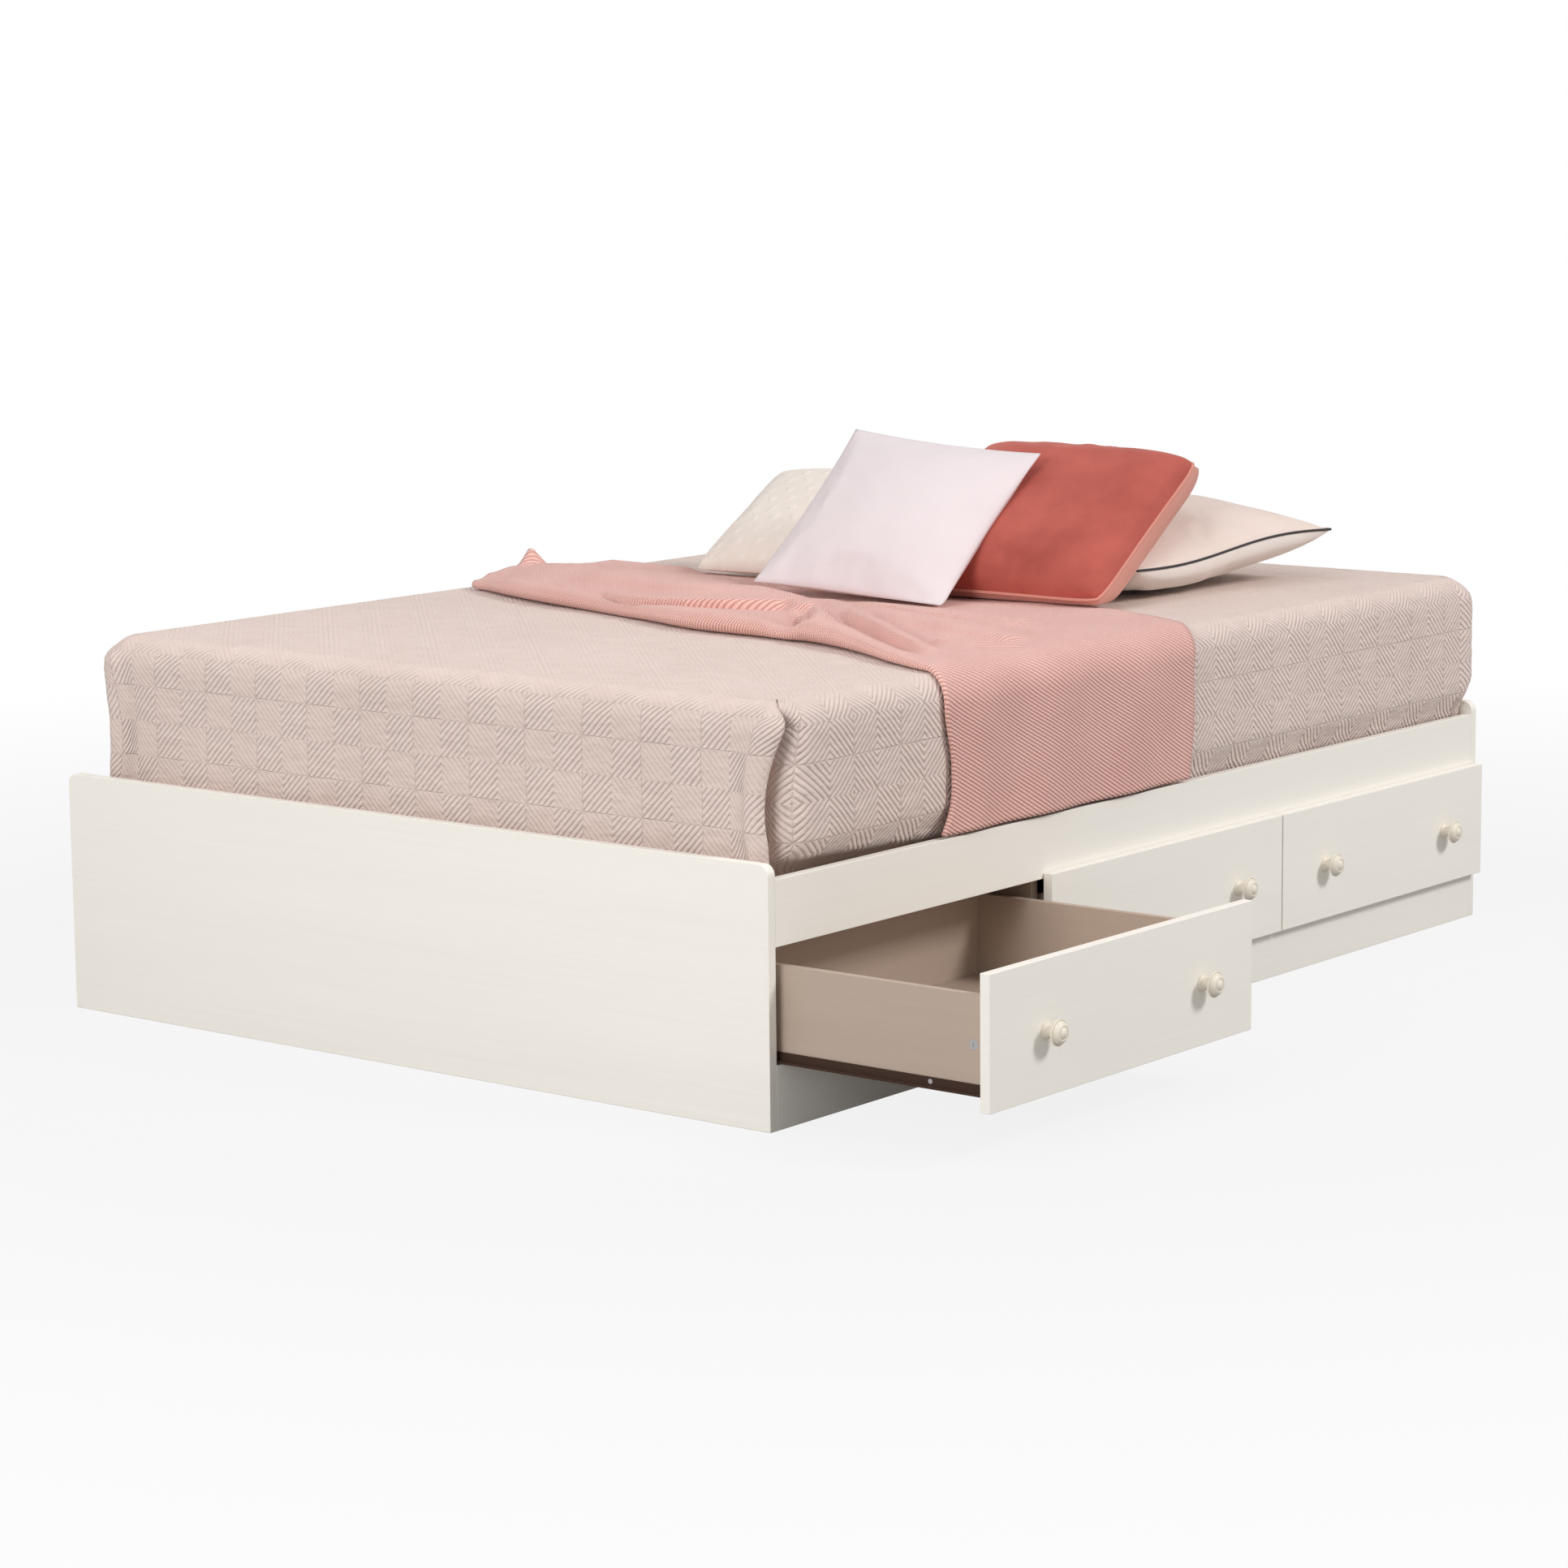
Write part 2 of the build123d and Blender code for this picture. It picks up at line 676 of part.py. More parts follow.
def throw_sheet():
    outline = make_face(Polyline(*throw_foot_line, *throw_head_line, close=True))
    return Pos(0, 0, sheet_bottom) * extrude(outline, throw_thickness)


def throw_turn():
    """The quarter round where the sheet goes over the mattress edge."""
    inside = bedding_top_round + soft_gap
    outside = inside + throw_thickness
    half = math.sqrt(0.5)
    outer = ThreePointArc((0, outside), (outside * half, outside * half), (outside, 0))
    inner = ThreePointArc((inside, 0), (inside * half, inside * half), (0, inside))
    section = make_face([outer, Line((outside, 0), (inside, 0)), inner, Line((0, inside), (0, outside))])
    low_y = throw_side_foot
    turned = Plane(origin=(turn_x, low_y, turn_z), x_dir=(1, 0, 0), z_dir=(0, -1, 0)) * section
    return extrude(turned, throw_side_head - low_y, dir=(0, 1, 0))


def throw_drop():
    """The hanging part: flat against the mattress, with shallow folds on its outside."""
    low_y = throw_side_foot
    pitch = (throw_side_head - low_y) / throw_fold_count
    face_x = drop_x + throw_thickness
    lines = []
    for index in range(throw_fold_count):
        start = (face_x, low_y + index * pitch)
        crest = (face_x + throw_fold_depth * (index % 2), low_y + (index + 0.5) * pitch)
        end = (face_x, low_y + (index + 1) * pitch)
        folded = index % 2 == 1
        lines.append(ThreePointArc(start, crest, end) if folded else Line(start, end))
    lines.append(Line((face_x, throw_side_head), (drop_x, throw_side_head)))
    lines.append(Line((drop_x, throw_side_head), (drop_x, low_y)))
    lines.append(Line((drop_x, low_y), (face_x, low_y)))
    hem_z = rail_top + throw_hem_above_rail
    return Pos(0, 0, hem_z) * extrude(make_face(lines), turn_z - hem_z)


def throw_roll(points, size):
    """A rolled fold that swells and thins along a line of points on the sheet."""
    width, height = size
    sections = []
    for index, (x, y) in enumerate(points):
        ahead = points[min(index + 1, len(points) - 1)]
        behind = points[max(index - 1, 0)]
        run = Vector(ahead[0] - behind[0], ahead[1] - behind[1], 0).normalized()
        swell = math.sin(math.pi * (index + 0.5) / len(points))
        share = roll_end_share + (1 - roll_end_share) * swell
        half = width * share / 2
        plane = Plane(origin=(x, y, sheet_bottom), x_dir=Vector(0, 0, 1).cross(run), z_dir=run)
        arc = ThreePointArc((-half, 0), (0, height * share), (half, 0))
        sections.append(plane * make_face([arc, Line((half, 0), (-half, 0))]))
    return loft(sections)


def throw_solid():
    far_end = (far_edge_x + roll_end_inset, throw_far_foot)
    near_end = (turn_x - roll_end_inset, throw_side_foot)
    inner_line = [far_end, *reversed(throw_foot_points)]
    edge_line = [*inner_line, near_end]
    edge_roll = throw_roll([(x, y + edge_roll_inset) for x, y in edge_line], edge_roll_size)
    inner_roll = throw_roll([(x, y + inner_roll_inset) for x, y in inner_line], inner_roll_size)
    return throw_sheet() + throw_turn() + throw_drop() + [edge_roll, inner_roll]


# Cushions: crowned, with sides drawn in between the corners
def cushion(size):
    """A cushion lying flat on its seam plane: width along X, height along Y."""
    width, height, thickness = size
    sections = []
    for station in cushion_stations:
        crown = max(math.cos(math.pi * station), 0.0) ** crown_fullness
        half_thick = (seam_thickness + (thickness - seam_thickness) * crown) / 2
        half = width * (1 - side_draw_in * math.cos(math.pi * station)) / 2
        top = ThreePointArc((-half, 0), (0, half_thick), (half, 0))
        bottom = ThreePointArc((half, 0), (0, -half_thick), (-half, 0))
        plane = Plane(origin=(0, station * height, 0), x_dir=(1, 0, 0), z_dir=(0, -1, 0))
        sections.append(plane * make_face([top, bottom]))
    return loft(sections)


def rested(shape, place, floor_z):
    """A cushion moved so that its lowest point lies on what carries it."""
    low = shape.bounding_box().min.Z
    return Pos(place[0], dressing_y + place[1], floor_z + soft_gap - low) * shape


def leaning(size, lean, turn, place, floor_z):
    return rested(Rot(0, 0, turn) * Rot(lean, 0, 0) * cushion(size), place, floor_z)


# Write every piece
os.makedirs("parts", exist_ok=True)

panel_blank = slab((-half_width, half_width), (-half_length, -inner_y), (0, panel_height))
panel_top_corners = panel_blank.edges().filter_by(Axis.Y).group_by(Axis.Z)[-1]
end_panel = eased(fillet(panel_top_corners, panel_corner_radius))
end_fasteners = (
    fasteners_of(rail_cams + plinth_cams + far_cams + bay_back_cams)
    + rail_dowels + plinth_dowels + far_dowels + bay_back_dowels
)
channel_holes = [
    screw_hole(*spot, *channel_screw_size)
    for index in range(bay_count)
    for spot in channel_screw_spots(index)
]
head_panel = Pos(0, half_length + inner_y, 0) * end_panel
save("foot_panel", drilled(end_panel, end_fasteners) - (ledger_holes + channel_holes))
save("head_panel", drilled(head_panel, end_fasteners) - (ledger_holes + channel_holes))

side_y = (-inner_y, inner_y)
rail = eased(slab((inner_x, half_width), side_y, (rail_bottom, rail_top)))
rail_holes = fasteners_of(rail_cams) + rail_dowels + divider_rail_dowels
save("drawer_side_rail", drilled(rail, rail_holes) - ledger_holes)
plinth = eased(slab((inner_x, half_width), side_y, (0, plinth_height)))
save("drawer_side_plinth", drilled(plinth, fasteners_of(plinth_cams) + plinth_dowels + divider_plinth_dowels))
far_panel = eased(slab((-half_width, -inner_x), side_y, (0, rail_top)))
far_holes = fasteners_of(far_cams) + far_dowels + brace_far_dowels
save("far_side_panel", drilled(far_panel, far_holes) - ledger_holes)

bay_back = slab((bay_back_face_x, bay_back_x), side_y, (0, deck_bottom))
bay_back_holes = fasteners_of(bay_back_cams) + bay_back_dowels + brace_bay_dowels
save("bay_back_panel", drilled(bay_back, bay_back_holes) - divider_holes)
for name, y in zip(divider_names, divider_y):
    divider = slab((bay_back_x, inner_x), (y - board / 2, y + board / 2), (0, deck_bottom))
    holes = drilled(divider, divider_rail_dowels + divider_plinth_dowels)
    save(name, holes - (divider_holes + channel_holes))
braces = [
    slab((far_face_x, bay_back_face_x), (y - board / 2, y + board / 2), (0, deck_bottom)) for y in brace_y
]
save("cross_braces", group(drilled(brace, brace_far_dowels + brace_bay_dowels) for brace in braces))

deck_x = (-inner_x + deck_side_gap, inner_x - deck_side_gap)
deck_boards = []
for index in range(deck_board_count):
    start = -inner_y + index * deck_pitch + deck_board_gap / 2
    deck_boards.append(slab(deck_x, (start, start + deck_pitch - deck_board_gap), (deck_bottom, deck_top)))
save("deck_boards", group(deck_boards))

ledger_z = (ledger_bottom, deck_bottom)
ledgers = [slab((rail_ledger_x, inner_x), span, ledger_z) for span in ledger_spans_y]
ledgers += [slab((-inner_x, far_ledger_x), span, ledger_z) for span in far_ledger_spans_y]
for sign in (-1, 1):
    y_span = sorted((sign * end_ledger_y, sign * inner_y))
    ledgers += [slab(span, y_span, ledger_z) for span in end_ledger_spans_x]
save("deck_ledgers", group(ledger - ledger_holes for ledger in ledgers))
save("ledger_screws", group(wood_screw(*spot, *ledger_screw_size) for spot in ledger_screw_spots))
save("divider_screws", group(wood_screw(*spot, *divider_screw_size) for spot in divider_screw_spots))

frame_cams = rail_cams + plinth_cams + far_cams + bay_back_cams
cam_locks = []
for lock, bolt in frame_cams:
    start, end, radius = lock
    facing = Plane(origin=start, z_dir=Vector(*start) - Vector(*end))
    cam_locks.append(rod(*lock) - cross_recess(facing, recess_depth))
save("frame_cam_locks", group(cam_locks))
save("frame_cam_bolts", group(rod(*bolt) for lock, bolt in frame_cams))
frame_dowels = rail_dowels + plinth_dowels + far_dowels + bay_back_dowels
frame_dowels += brace_far_dowels + brace_bay_dowels + divider_rail_dowels + divider_plinth_dowels
save("frame_dowels", group(rod(*dowel) for dowel in frame_dowels))

channels = [
    wall_channel(index, sign) - channel_holes for index in range(bay_count) for sign in (-1, 1)
]
save("bay_runners", group(channels))
channel_screws = [
    wood_screw(*spot, *channel_screw_size)
    for index in range(bay_count)
    for spot in channel_screw_spots(index)
]
save("bay_runner_screws", group(channel_screws))

for index, drawer in enumerate(drawer_names):
    for name, shape in drawer_parts(index).items():
        save(f"{drawer}_{name}", shape)

save("mattress", bedding_form(quilt_thickness))
whole_x = (-half_width, half_width)
whole_y = (-half_length, half_length)
quilt_hem = slab(whole_x, whole_y, (deck_top - board, deck_top + quilt_lift))
quilt_shell = bedding_form(0.0) + [corner_fold(1), corner_fold(-1)]
save("quilt", quilt_shell - bedding_form(quilt_thickness - soft_gap, board) - quilt_hem)
save("throw", Pos(0, dressing_y, 0) * throw_solid())
save("lilac_cushion", leaning(lilac_size, lilac_lean_angle, lilac_turn_angle, lilac_place, sheet_top))
save("coral_cushion", leaning(coral_size, coral_lean_angle, coral_turn_angle, coral_place, sheet_top))
save("cream_cushion", leaning(cream_size, cream_lean_angle, cream_turn_angle, cream_place, sheet_top))
save("piped_pillow", leaning(pillow_size, pillow_lean_angle, pillow_turn_angle, pillow_place, bedding_top))
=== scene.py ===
# %% [markdown]
# A platform bed with storage drawers, dressed in Blender
#
# The bed's boards, drawers, runners and fasteners come from a CAD model at their real size. This lesson
# loads that model as a fixed frame, gives each board and fitting its finish, and makes the soft goods
# on top of it: mattress, stitched quilt, knitted throw, cushions and a piped pillow. All lengths are
# metres.

# %% Load the fixed frame
import math

import bpy
import numpy as np
from mathutils import Matrix, Vector


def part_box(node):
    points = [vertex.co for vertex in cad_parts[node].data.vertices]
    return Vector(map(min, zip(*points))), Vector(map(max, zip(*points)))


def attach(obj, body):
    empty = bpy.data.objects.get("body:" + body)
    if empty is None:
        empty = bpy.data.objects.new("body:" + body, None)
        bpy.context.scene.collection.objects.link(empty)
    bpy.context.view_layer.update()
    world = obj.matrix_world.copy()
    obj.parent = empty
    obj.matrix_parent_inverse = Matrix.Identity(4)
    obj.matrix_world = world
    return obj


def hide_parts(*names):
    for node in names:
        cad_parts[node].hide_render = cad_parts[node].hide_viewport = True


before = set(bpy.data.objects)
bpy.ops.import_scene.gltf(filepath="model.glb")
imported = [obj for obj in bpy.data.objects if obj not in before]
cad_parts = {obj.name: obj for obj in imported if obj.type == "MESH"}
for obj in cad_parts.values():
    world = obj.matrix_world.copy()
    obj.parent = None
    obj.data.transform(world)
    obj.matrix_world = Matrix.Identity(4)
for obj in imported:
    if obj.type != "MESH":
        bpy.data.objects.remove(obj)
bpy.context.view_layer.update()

# %% [markdown]
# The camera
#
# A camera's place can be guessed and nudged, or fitted. Here it was fitted: the bed's straight edges
# give the direction of view, the focal length and the height. The frame is square and the lens has no
# shift, so the same camera also looks right when it is moved round the bed.

# %% Camera
picture_side = 1932.0
focal_length_in_pixels = 5198.6
sensor_width = 36.0
camera_place = Vector((4.2648, -5.4055, 1.4053))
camera_yaw = math.radians(38.565)
camera_pitch = math.radians(9.162)
camera_roll = math.radians(-0.572)

bpy.ops.object.camera_add()
camera = bpy.context.object
camera.name = "photo_camera"
camera.data.sensor_width = sensor_width
camera.data.lens = sensor_width * focal_length_in_pixels / picture_side
camera.matrix_world = (
    Matrix.Translation(camera_place)
    @ Matrix.Rotation(camera_yaw, 4, "Z")
    @ Matrix.Rotation(math.pi / 2 - camera_pitch, 4, "X")
    @ Matrix.Rotation(camera_roll, 4, "Z")
)
bpy.context.scene.camera = camera
bpy.context.scene.view_settings.view_transform = "Standard"
print("lens", round(camera.data.lens, 2), "mm")

# %% [markdown]
# Shader maths as sums
#
# A material is a web of nodes, and a web drawn by hand is hard to read as code. One small class wraps a
# node's output, so that a pattern is written as a sum: adding two wrapped outputs adds a Math node.
# Every other node comes from one method, which takes the node's type, its settings and its inputs.


# %% A socket that can be used in sums
class Shade:
    """One output of a node tree, used in Python sums as a number is."""

    def __init__(self, tree, socket=None):
        self.tree = tree
        self.socket = socket

    def node(self, kind, settings=None, inputs=None, output=0):
        made = self.tree.nodes.new(kind)
        for name, setting in (settings or {}).items():
            setattr(made, name, setting)
        for name, given in (inputs or {}).items():
            if isinstance(given, Shade):
                self.tree.links.new(given.socket, made.inputs[name])
            else:
                made.inputs[name].default_value = given
        return Shade(self.tree, made.outputs[output])

    def math(self, operation, *others):
        inputs = dict(enumerate((self, *others)))
        return self.node("ShaderNodeMath", {"operation": operation}, inputs)

    def __add__(self, other):
        return self.math("ADD", other)

    __radd__ = __add__

    def __mul__(self, other):
        return self.math("MULTIPLY", other)

    __rmul__ = __mul__

    def __sub__(self, other):
        return self.math("SUBTRACT", other)

    def __rsub__(self, other):
        return self.node("ShaderNodeMath", {"operation": "SUBTRACT"}, {0: other, 1: self})

    def __truediv__(self, other):
        return self.math("DIVIDE", other)

    def __mod__(self, other):
        return self.math("FLOORED_MODULO", other)

    def __pow__(self, other):
        return self.math("POWER", other)

    def __abs__(self):
        return self.math("ABSOLUTE")

    def floor(self):
        return self.math("FLOOR")

    def wave(self, turns=1.0):
        """A sine that runs through one cycle while the value grows by 1 / turns."""
        return (self * (2 * math.pi * turns)).math("SINE")

    def clamp(self):
        return self.math("MINIMUM", 1.0).math("MAXIMUM", 0.0)


print("shader sums ready")


# %% Colours, relief and noise for finishes
def blend(factor, first, second):
    """A colour between two colours."""
    settings = {"data_type": "RGBA", "blend_type": "MIX"}
    inputs = {0: factor, 6: (*first, 1.0), 7: (*second, 1.0)}
    return factor.node("ShaderNodeMix", settings, inputs, output=2)


def new_finish(name, **constants):
    """A material with its constant sockets set: the material, its shader and a start for its sums."""
    material = bpy.data.materials.new(name)
    material.use_nodes = True
    shader = material.node_tree.nodes["Principled BSDF"]
    for socket, value in constants.items():
        shader.inputs[socket.replace("_", " ").title()].default_value = value
    return material, shader, Shade(material.node_tree)


def connect(shader, **links):
    for socket, value in links.items():
        value.tree.links.new(value.socket, shader.inputs[socket.replace("_", " ").title()])


def bumped(height, distance):
    """A normal from a height between 0 and 1 that stands for a relief of the given depth."""
    return height.node("ShaderNodeBump", None, {"Strength": 1.0, "Distance": distance, "Height": height})


def noise(start, place, stretch, detail=3.0, roughness=0.5):
    """Soft noise on a place that is stretched first."""
    settings = {"operation": "MULTIPLY"}
    stretched = start.node("ShaderNodeVectorMath", settings, {0: place, 1: stretch})
    inputs = {"Vector": stretched, "Scale": 1.0, "Detail": detail, "Roughness": roughness}
    return start.node("ShaderNodeTexNoise", None, inputs)


def object_place(start):
    return start.node("ShaderNodeTexCoord", None, None, output="Object")


def one_axis(place, axis):
    """One of the three numbers of a place."""
    return place.node("ShaderNodeSeparateXYZ", None, {0: place}, output=axis)


def flat_place(start):
    """The two flat directions of a cloth, in metres, from its UV map."""
    flat = start.node("ShaderNodeUVMap", {"uv_map": "flat"})
    return one_axis(flat, "X"), one_axis(flat, "Y")


print("shader tools ready")

# %% [markdown]
# Floor, backdrop and light
#
# The bed stands in plain white studio surroundings. A curved sheet of paper could give them, but it
# would stand in the way when the camera goes round the bed, so there is a flat floor instead. It fades
# into the white a few metres out, so it has no edge, and keeps the bed's soft shadow near its feet. The
# world is white to the camera and to reflections, and dimmer for everything else, so the lamps shape
# the bed.

# %% Backdrop
ambient_strength = 0.42
white = (1.0, 1.0, 1.0, 1.0)

world = bpy.data.worlds.new("studio")
world.use_nodes = True
bpy.context.scene.world = world
sky = Shade(world.node_tree)
rays = [sky.node("ShaderNodeLightPath", None, None, output=f"Is {ray} Ray")
        for ray in ("Camera", "Glossy", "Transmission")]
seen = rays[0].math("MAXIMUM", rays[1]).math("MAXIMUM", rays[2])
strength = seen * (1.0 - ambient_strength) + ambient_strength
background = world.node_tree.nodes["Background"]
background.inputs["Color"].default_value = white
world.node_tree.links.new(strength.socket, background.inputs["Strength"])
print("backdrop", world.name)

# %% Floor
floor_colour = (0.40, 0.40, 0.40, 1.0)
floor_glow = 0.86
floor_drop = 0.0006
floor_size = 60.0
fade_start, fade_length = 1.6, 2.2

bpy.ops.object.select_all(action="DESELECT")
bpy.ops.mesh.primitive_grid_add(
    x_subdivisions=8, y_subdivisions=8, size=floor_size, location=(0, 0, -floor_drop))
floor = bpy.context.object
floor.name = "studio_floor"
floor_finish = bpy.data.materials.new("studio_floor")
floor_finish.use_nodes = True
tree = floor_finish.node_tree
tree.nodes.remove(tree.nodes["Principled BSDF"])
start = Shade(tree)
plain = start.node("ShaderNodeBsdfDiffuse", None, {"Color": floor_colour})
glow = start.node("ShaderNodeEmission", None, {"Color": white, "Strength": 1.0})
camera_ray = start.node("ShaderNodeLightPath", None, None, output="Is Camera Ray")
length = {"operation": "LENGTH"}
distance = start.node("ShaderNodeVectorMath", length, {0: object_place(start)}, output="Value")
far_out = ((distance - fade_start) / fade_length).clamp()
share = camera_ray * (floor_glow + far_out * (1.0 - floor_glow))
mixed = start.node("ShaderNodeMixShader", None, {0: share, 1: plain, 2: glow})
tree.links.new(mixed.socket, tree.nodes["Material Output"].inputs["Surface"])
floor.data.materials.append(floor_finish)
print("floor", floor_size, "m wide")


# %% Lights
def soft_lamp(name, place, aim, size, power):
    """A square soft light that looks from its place to a point."""
    bpy.ops.object.light_add(type="AREA", location=place)
    lamp = bpy.context.object
    lamp.name = name
    lamp.data.shape = "SQUARE"
    lamp.data.size = size
    lamp.data.energy = power
    look = Vector(aim) - Vector(place)
    lamp.rotation_euler = look.to_track_quat("-Z", "Y").to_euler()


bed_middle = (0.0, 0.0, 0.4)
soft_lamp("top_light", (-0.6, -1.8, 3.8), bed_middle, 3.0, 38.0)
soft_lamp("foot_light", (0.9, -6.2, 2.6), bed_middle, 2.4, 180.0)
soft_lamp("drawer_light", (7.4, 2.4, 6.0), bed_middle, 2.2, 455.0)

# %% [markdown]
# Board finishes
#
# The boards are covered with a printed laminate: whitewashed wood outside, warm taupe inside the
# drawers. A picture of wood could be laid on each board, but every board would need a UV map for it.
# Noise needs none. The grain runs along each board, so the noise is stretched along that direction, in
# faint streaks over broad bands, and it also makes the gloss a little uneven.

# %% Laminates
across_bed, along_bed = 0, 1


def laminate(name, light, dark, along, contrast, gloss):
    """A printed board whose grain runs along one axis of the bed."""
    material, shader, start = new_finish(name)
    place = object_place(start)
    streak_scale = [150.0, 150.0, 150.0]
    band_scale = [16.0, 16.0, 16.0]
    streak_scale[along] = 3.0
    band_scale[along] = 0.9
    streaks = noise(start, place, streak_scale, 4.0, 0.6)
    bands = noise(start, place, band_scale, 2.0, 0.5)
    grain = ((streaks * 0.55 + bands * 0.45 - 0.5) * contrast + 0.5).clamp()
    connect(shader, base_color=blend(grain, light, dark), roughness=gloss + streaks * 0.12)
    connect(shader, normal=bumped(streaks, 0.00006))
    return material


whitewash = dict(light=(0.925, 0.887, 0.825), dark=(0.870, 0.825, 0.752), contrast=1.3, gloss=0.36)
taupe = dict(light=(0.500, 0.395, 0.320), dark=(0.420, 0.325, 0.258), contrast=0.9, gloss=0.42)
inner = dict(light=(0.46, 0.36, 0.29), dark=(0.38, 0.29, 0.23), contrast=0.9, gloss=0.5)
pine = dict(light=(0.62, 0.43, 0.25), dark=(0.47, 0.29, 0.15), contrast=2.2, gloss=0.5)
white_across = laminate("whitewash_across", along=across_bed, **whitewash)
white_along = laminate("whitewash_along", along=along_bed, **whitewash)
taupe_along = laminate("taupe_along", along=along_bed, **taupe)
taupe_across = laminate("taupe_across", along=across_bed, **taupe)
inner_along = laminate("inner_along", along=along_bed, **inner)
inner_across = laminate("inner_across", along=across_bed, **inner)
pine_along = laminate("pine_along", along=along_bed, **pine)
print("laminates made")

# %% [markdown]
# Fittings
#
# The runners are dark moulded plastic with a fine spark texture. The knobs are turned wood under satin
# paint, whose lathe rings still show a little. Screws are zinc plated steel and the cams are cast zinc.
# Each could be one plain colour, but light shows how a thing was made, so each has a fine noise of its
# own in its colour, gloss and relief.


# %% Fittings' finishes
def moulded_plastic():
    material, shader, start = new_finish("runner_polymer")
    spark = noise(start, object_place(start), (900.0, 900.0, 900.0), 2.0, 0.6)
    shader.inputs["Specular IOR Level"].default_value = 0.2
    connect(shader, base_color=blend(spark, (0.034, 0.015, 0.009), (0.054, 0.028, 0.018)))
    connect(shader, roughness=0.52 + spark * 0.2, normal=bumped(spark, 0.00012))
    return material


def painted_knob():
    material, shader, start = new_finish("knob_paint", coat_weight=0.05)
    place = object_place(start)
    ring = one_axis(place, "X").wave(900.0)
    brush = noise(start, place, (60.0, 160.0, 160.0), 3.0, 0.6)
    connect(shader, base_color=blend(brush, (0.79, 0.725, 0.615), (0.75, 0.685, 0.575)))
    connect(shader, roughness=0.42 + brush * 0.16, normal=bumped(ring * 0.5 + brush, 0.00004))
    return material


def plated(name, bright, dull, gloss):
    material, shader, start = new_finish(name, metallic=1.0)
    grain = noise(start, object_place(start), (400.0, 400.0, 400.0), 3.0, 0.6)
    connect(shader, base_color=blend(grain, bright, dull), roughness=gloss + grain * 0.2)
    connect(shader, normal=bumped(grain, 0.00005))
    return material


runner_polymer = moulded_plastic()
knob_paint = painted_knob()
steel = plated("plated_steel", (0.74, 0.73, 0.71), (0.58, 0.57, 0.55), 0.22)
zinc = plated("cast_zinc", (0.60, 0.60, 0.60), (0.46, 0.46, 0.47), 0.38)
print("fittings' finishes made")

# %% [markdown]
# Finishes on the pieces
#
# Every board and fitting of the CAD model is a piece with a name. The finishes could be set one by one,
# but the three drawers are alike and the ends of their pieces' names say which board is meant, so two
# small tables are enough.

# %% Give every board and fitting its finish
board_finish = {
    "foot_panel": white_across, "head_panel": white_across, "drawer_side_rail": white_along,
    "drawer_side_plinth": white_along, "far_side_panel": white_along, "bay_back_panel": inner_along,
    "bay_divider_foot": inner_across, "bay_divider_head": inner_across, "cross_braces": inner_across,
    "deck_boards": inner_across, "deck_ledgers": pine_along, "frame_dowels": pine_along,
}
drawer_finish = {
    "front": white_along, "left_side": taupe_across, "right_side": taupe_across, "back": taupe_along,
    "bottom": taupe_along, "knobs": knob_paint, "runners": runner_polymer, "cams": zinc,
}
cushion_nodes = ("lilac_cushion", "coral_cushion", "cream_cushion")
soft_nodes = ("mattress", "quilt", "throw", *cushion_nodes, "piped_pillow")


def finish_of(node):
    """The finish of a CAD node, from its own name or from its place in a drawer."""
    if node in board_finish:
        return board_finish[node]
    for piece, finish in drawer_finish.items():
        if node.endswith(f"_drawer_{piece}"):
            return finish
    if node.endswith("cam_locks"):
        return zinc
    return runner_polymer if node == "bay_runners" else steel


for node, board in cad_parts.items():
    if node not in soft_nodes:
        board.data.materials.clear()
        board.data.materials.append(finish_of(node))
print("finished", len(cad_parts) - len(soft_nodes), "boards and fittings")

# %% [markdown]
# Tools for cloth
#
# The quilt and the throw could be sculpted, or dropped on the bed by a simulation. Their folds are
# particular ones, though, into which a falling cloth would not settle, so each is laid out from its
# flat cut: a grid of points, of which every one knows where it lay in the flat cloth. That flat place
# becomes the UV map, in metres, so stitches and knit keep their real size and turn the corners with the
# cloth.


# %% Cloth tools
def cloth_piece(name, points, faces, flat):
    """A mesh of points and faces, with the flat place of every face corner as its UV map."""
    mesh = bpy.data.meshes.new(name)
    mesh.from_pydata([tuple(point) for point in points], [], [tuple(face) for face in faces])
    layer = mesh.uv_layers.new(name="flat")
    layer.data.foreach_set("uv", np.asarray(flat, dtype=np.float32).ravel())
    piece = bpy.data.objects.new(name, mesh)
    bpy.context.collection.objects.link(piece)
    activate(piece)
    bpy.ops.object.shade_smooth()
    return piece


def activate(piece):
    bpy.ops.object.select_all(action="DESELECT")
    piece.select_set(True)
    bpy.context.view_layer.objects.active = piece


def ease(value):
    """A soft step from 0 to 1."""
    value = np.clip(value, 0.0, 1.0)
    return value * value * (3.0 - 2.0 * value)


def through(points, at):
    """A smooth line through (place, value) points, read at other places."""
    places, values = np.array(points, dtype=float).T
    slopes = np.gradient(values, places)
    low = np.clip(np.searchsorted(places, at) - 1, 0, len(places) - 2)
    step = places[low + 1] - places[low]
    share = np.clip((at - places[low]) / step, 0.0, 1.0)
    square, cube = share**2, share**3
    first = values[low] * (2 * cube - 3 * square + 1) + slopes[low] * step * (cube - 2 * square + share)
    second = values[low + 1] * (3 * square - 2 * cube) + slopes[low + 1] * step * (cube - square)
    return first + second


def ripple(first, second, length, turn=0.0):
    """Soft uneven waves of about one length over two directions, between -1 and 1."""
    wave_count = 5
    total = np.zeros(np.broadcast(first, second).shape)
    for index in range(wave_count):
        angle = turn + 2.4 * index
        pitch = length * (0.7 + 0.23 * index)
        across = first * math.cos(angle) + second * math.sin(angle)
        bend = 0.35 * np.sin(2 * math.pi * (second * 0.7 - first * 0.4) / (length * 2.7) + index)
        total = total + np.sin(2 * math.pi * across / pitch + 1.7 * index + bend)
    return total / wave_count


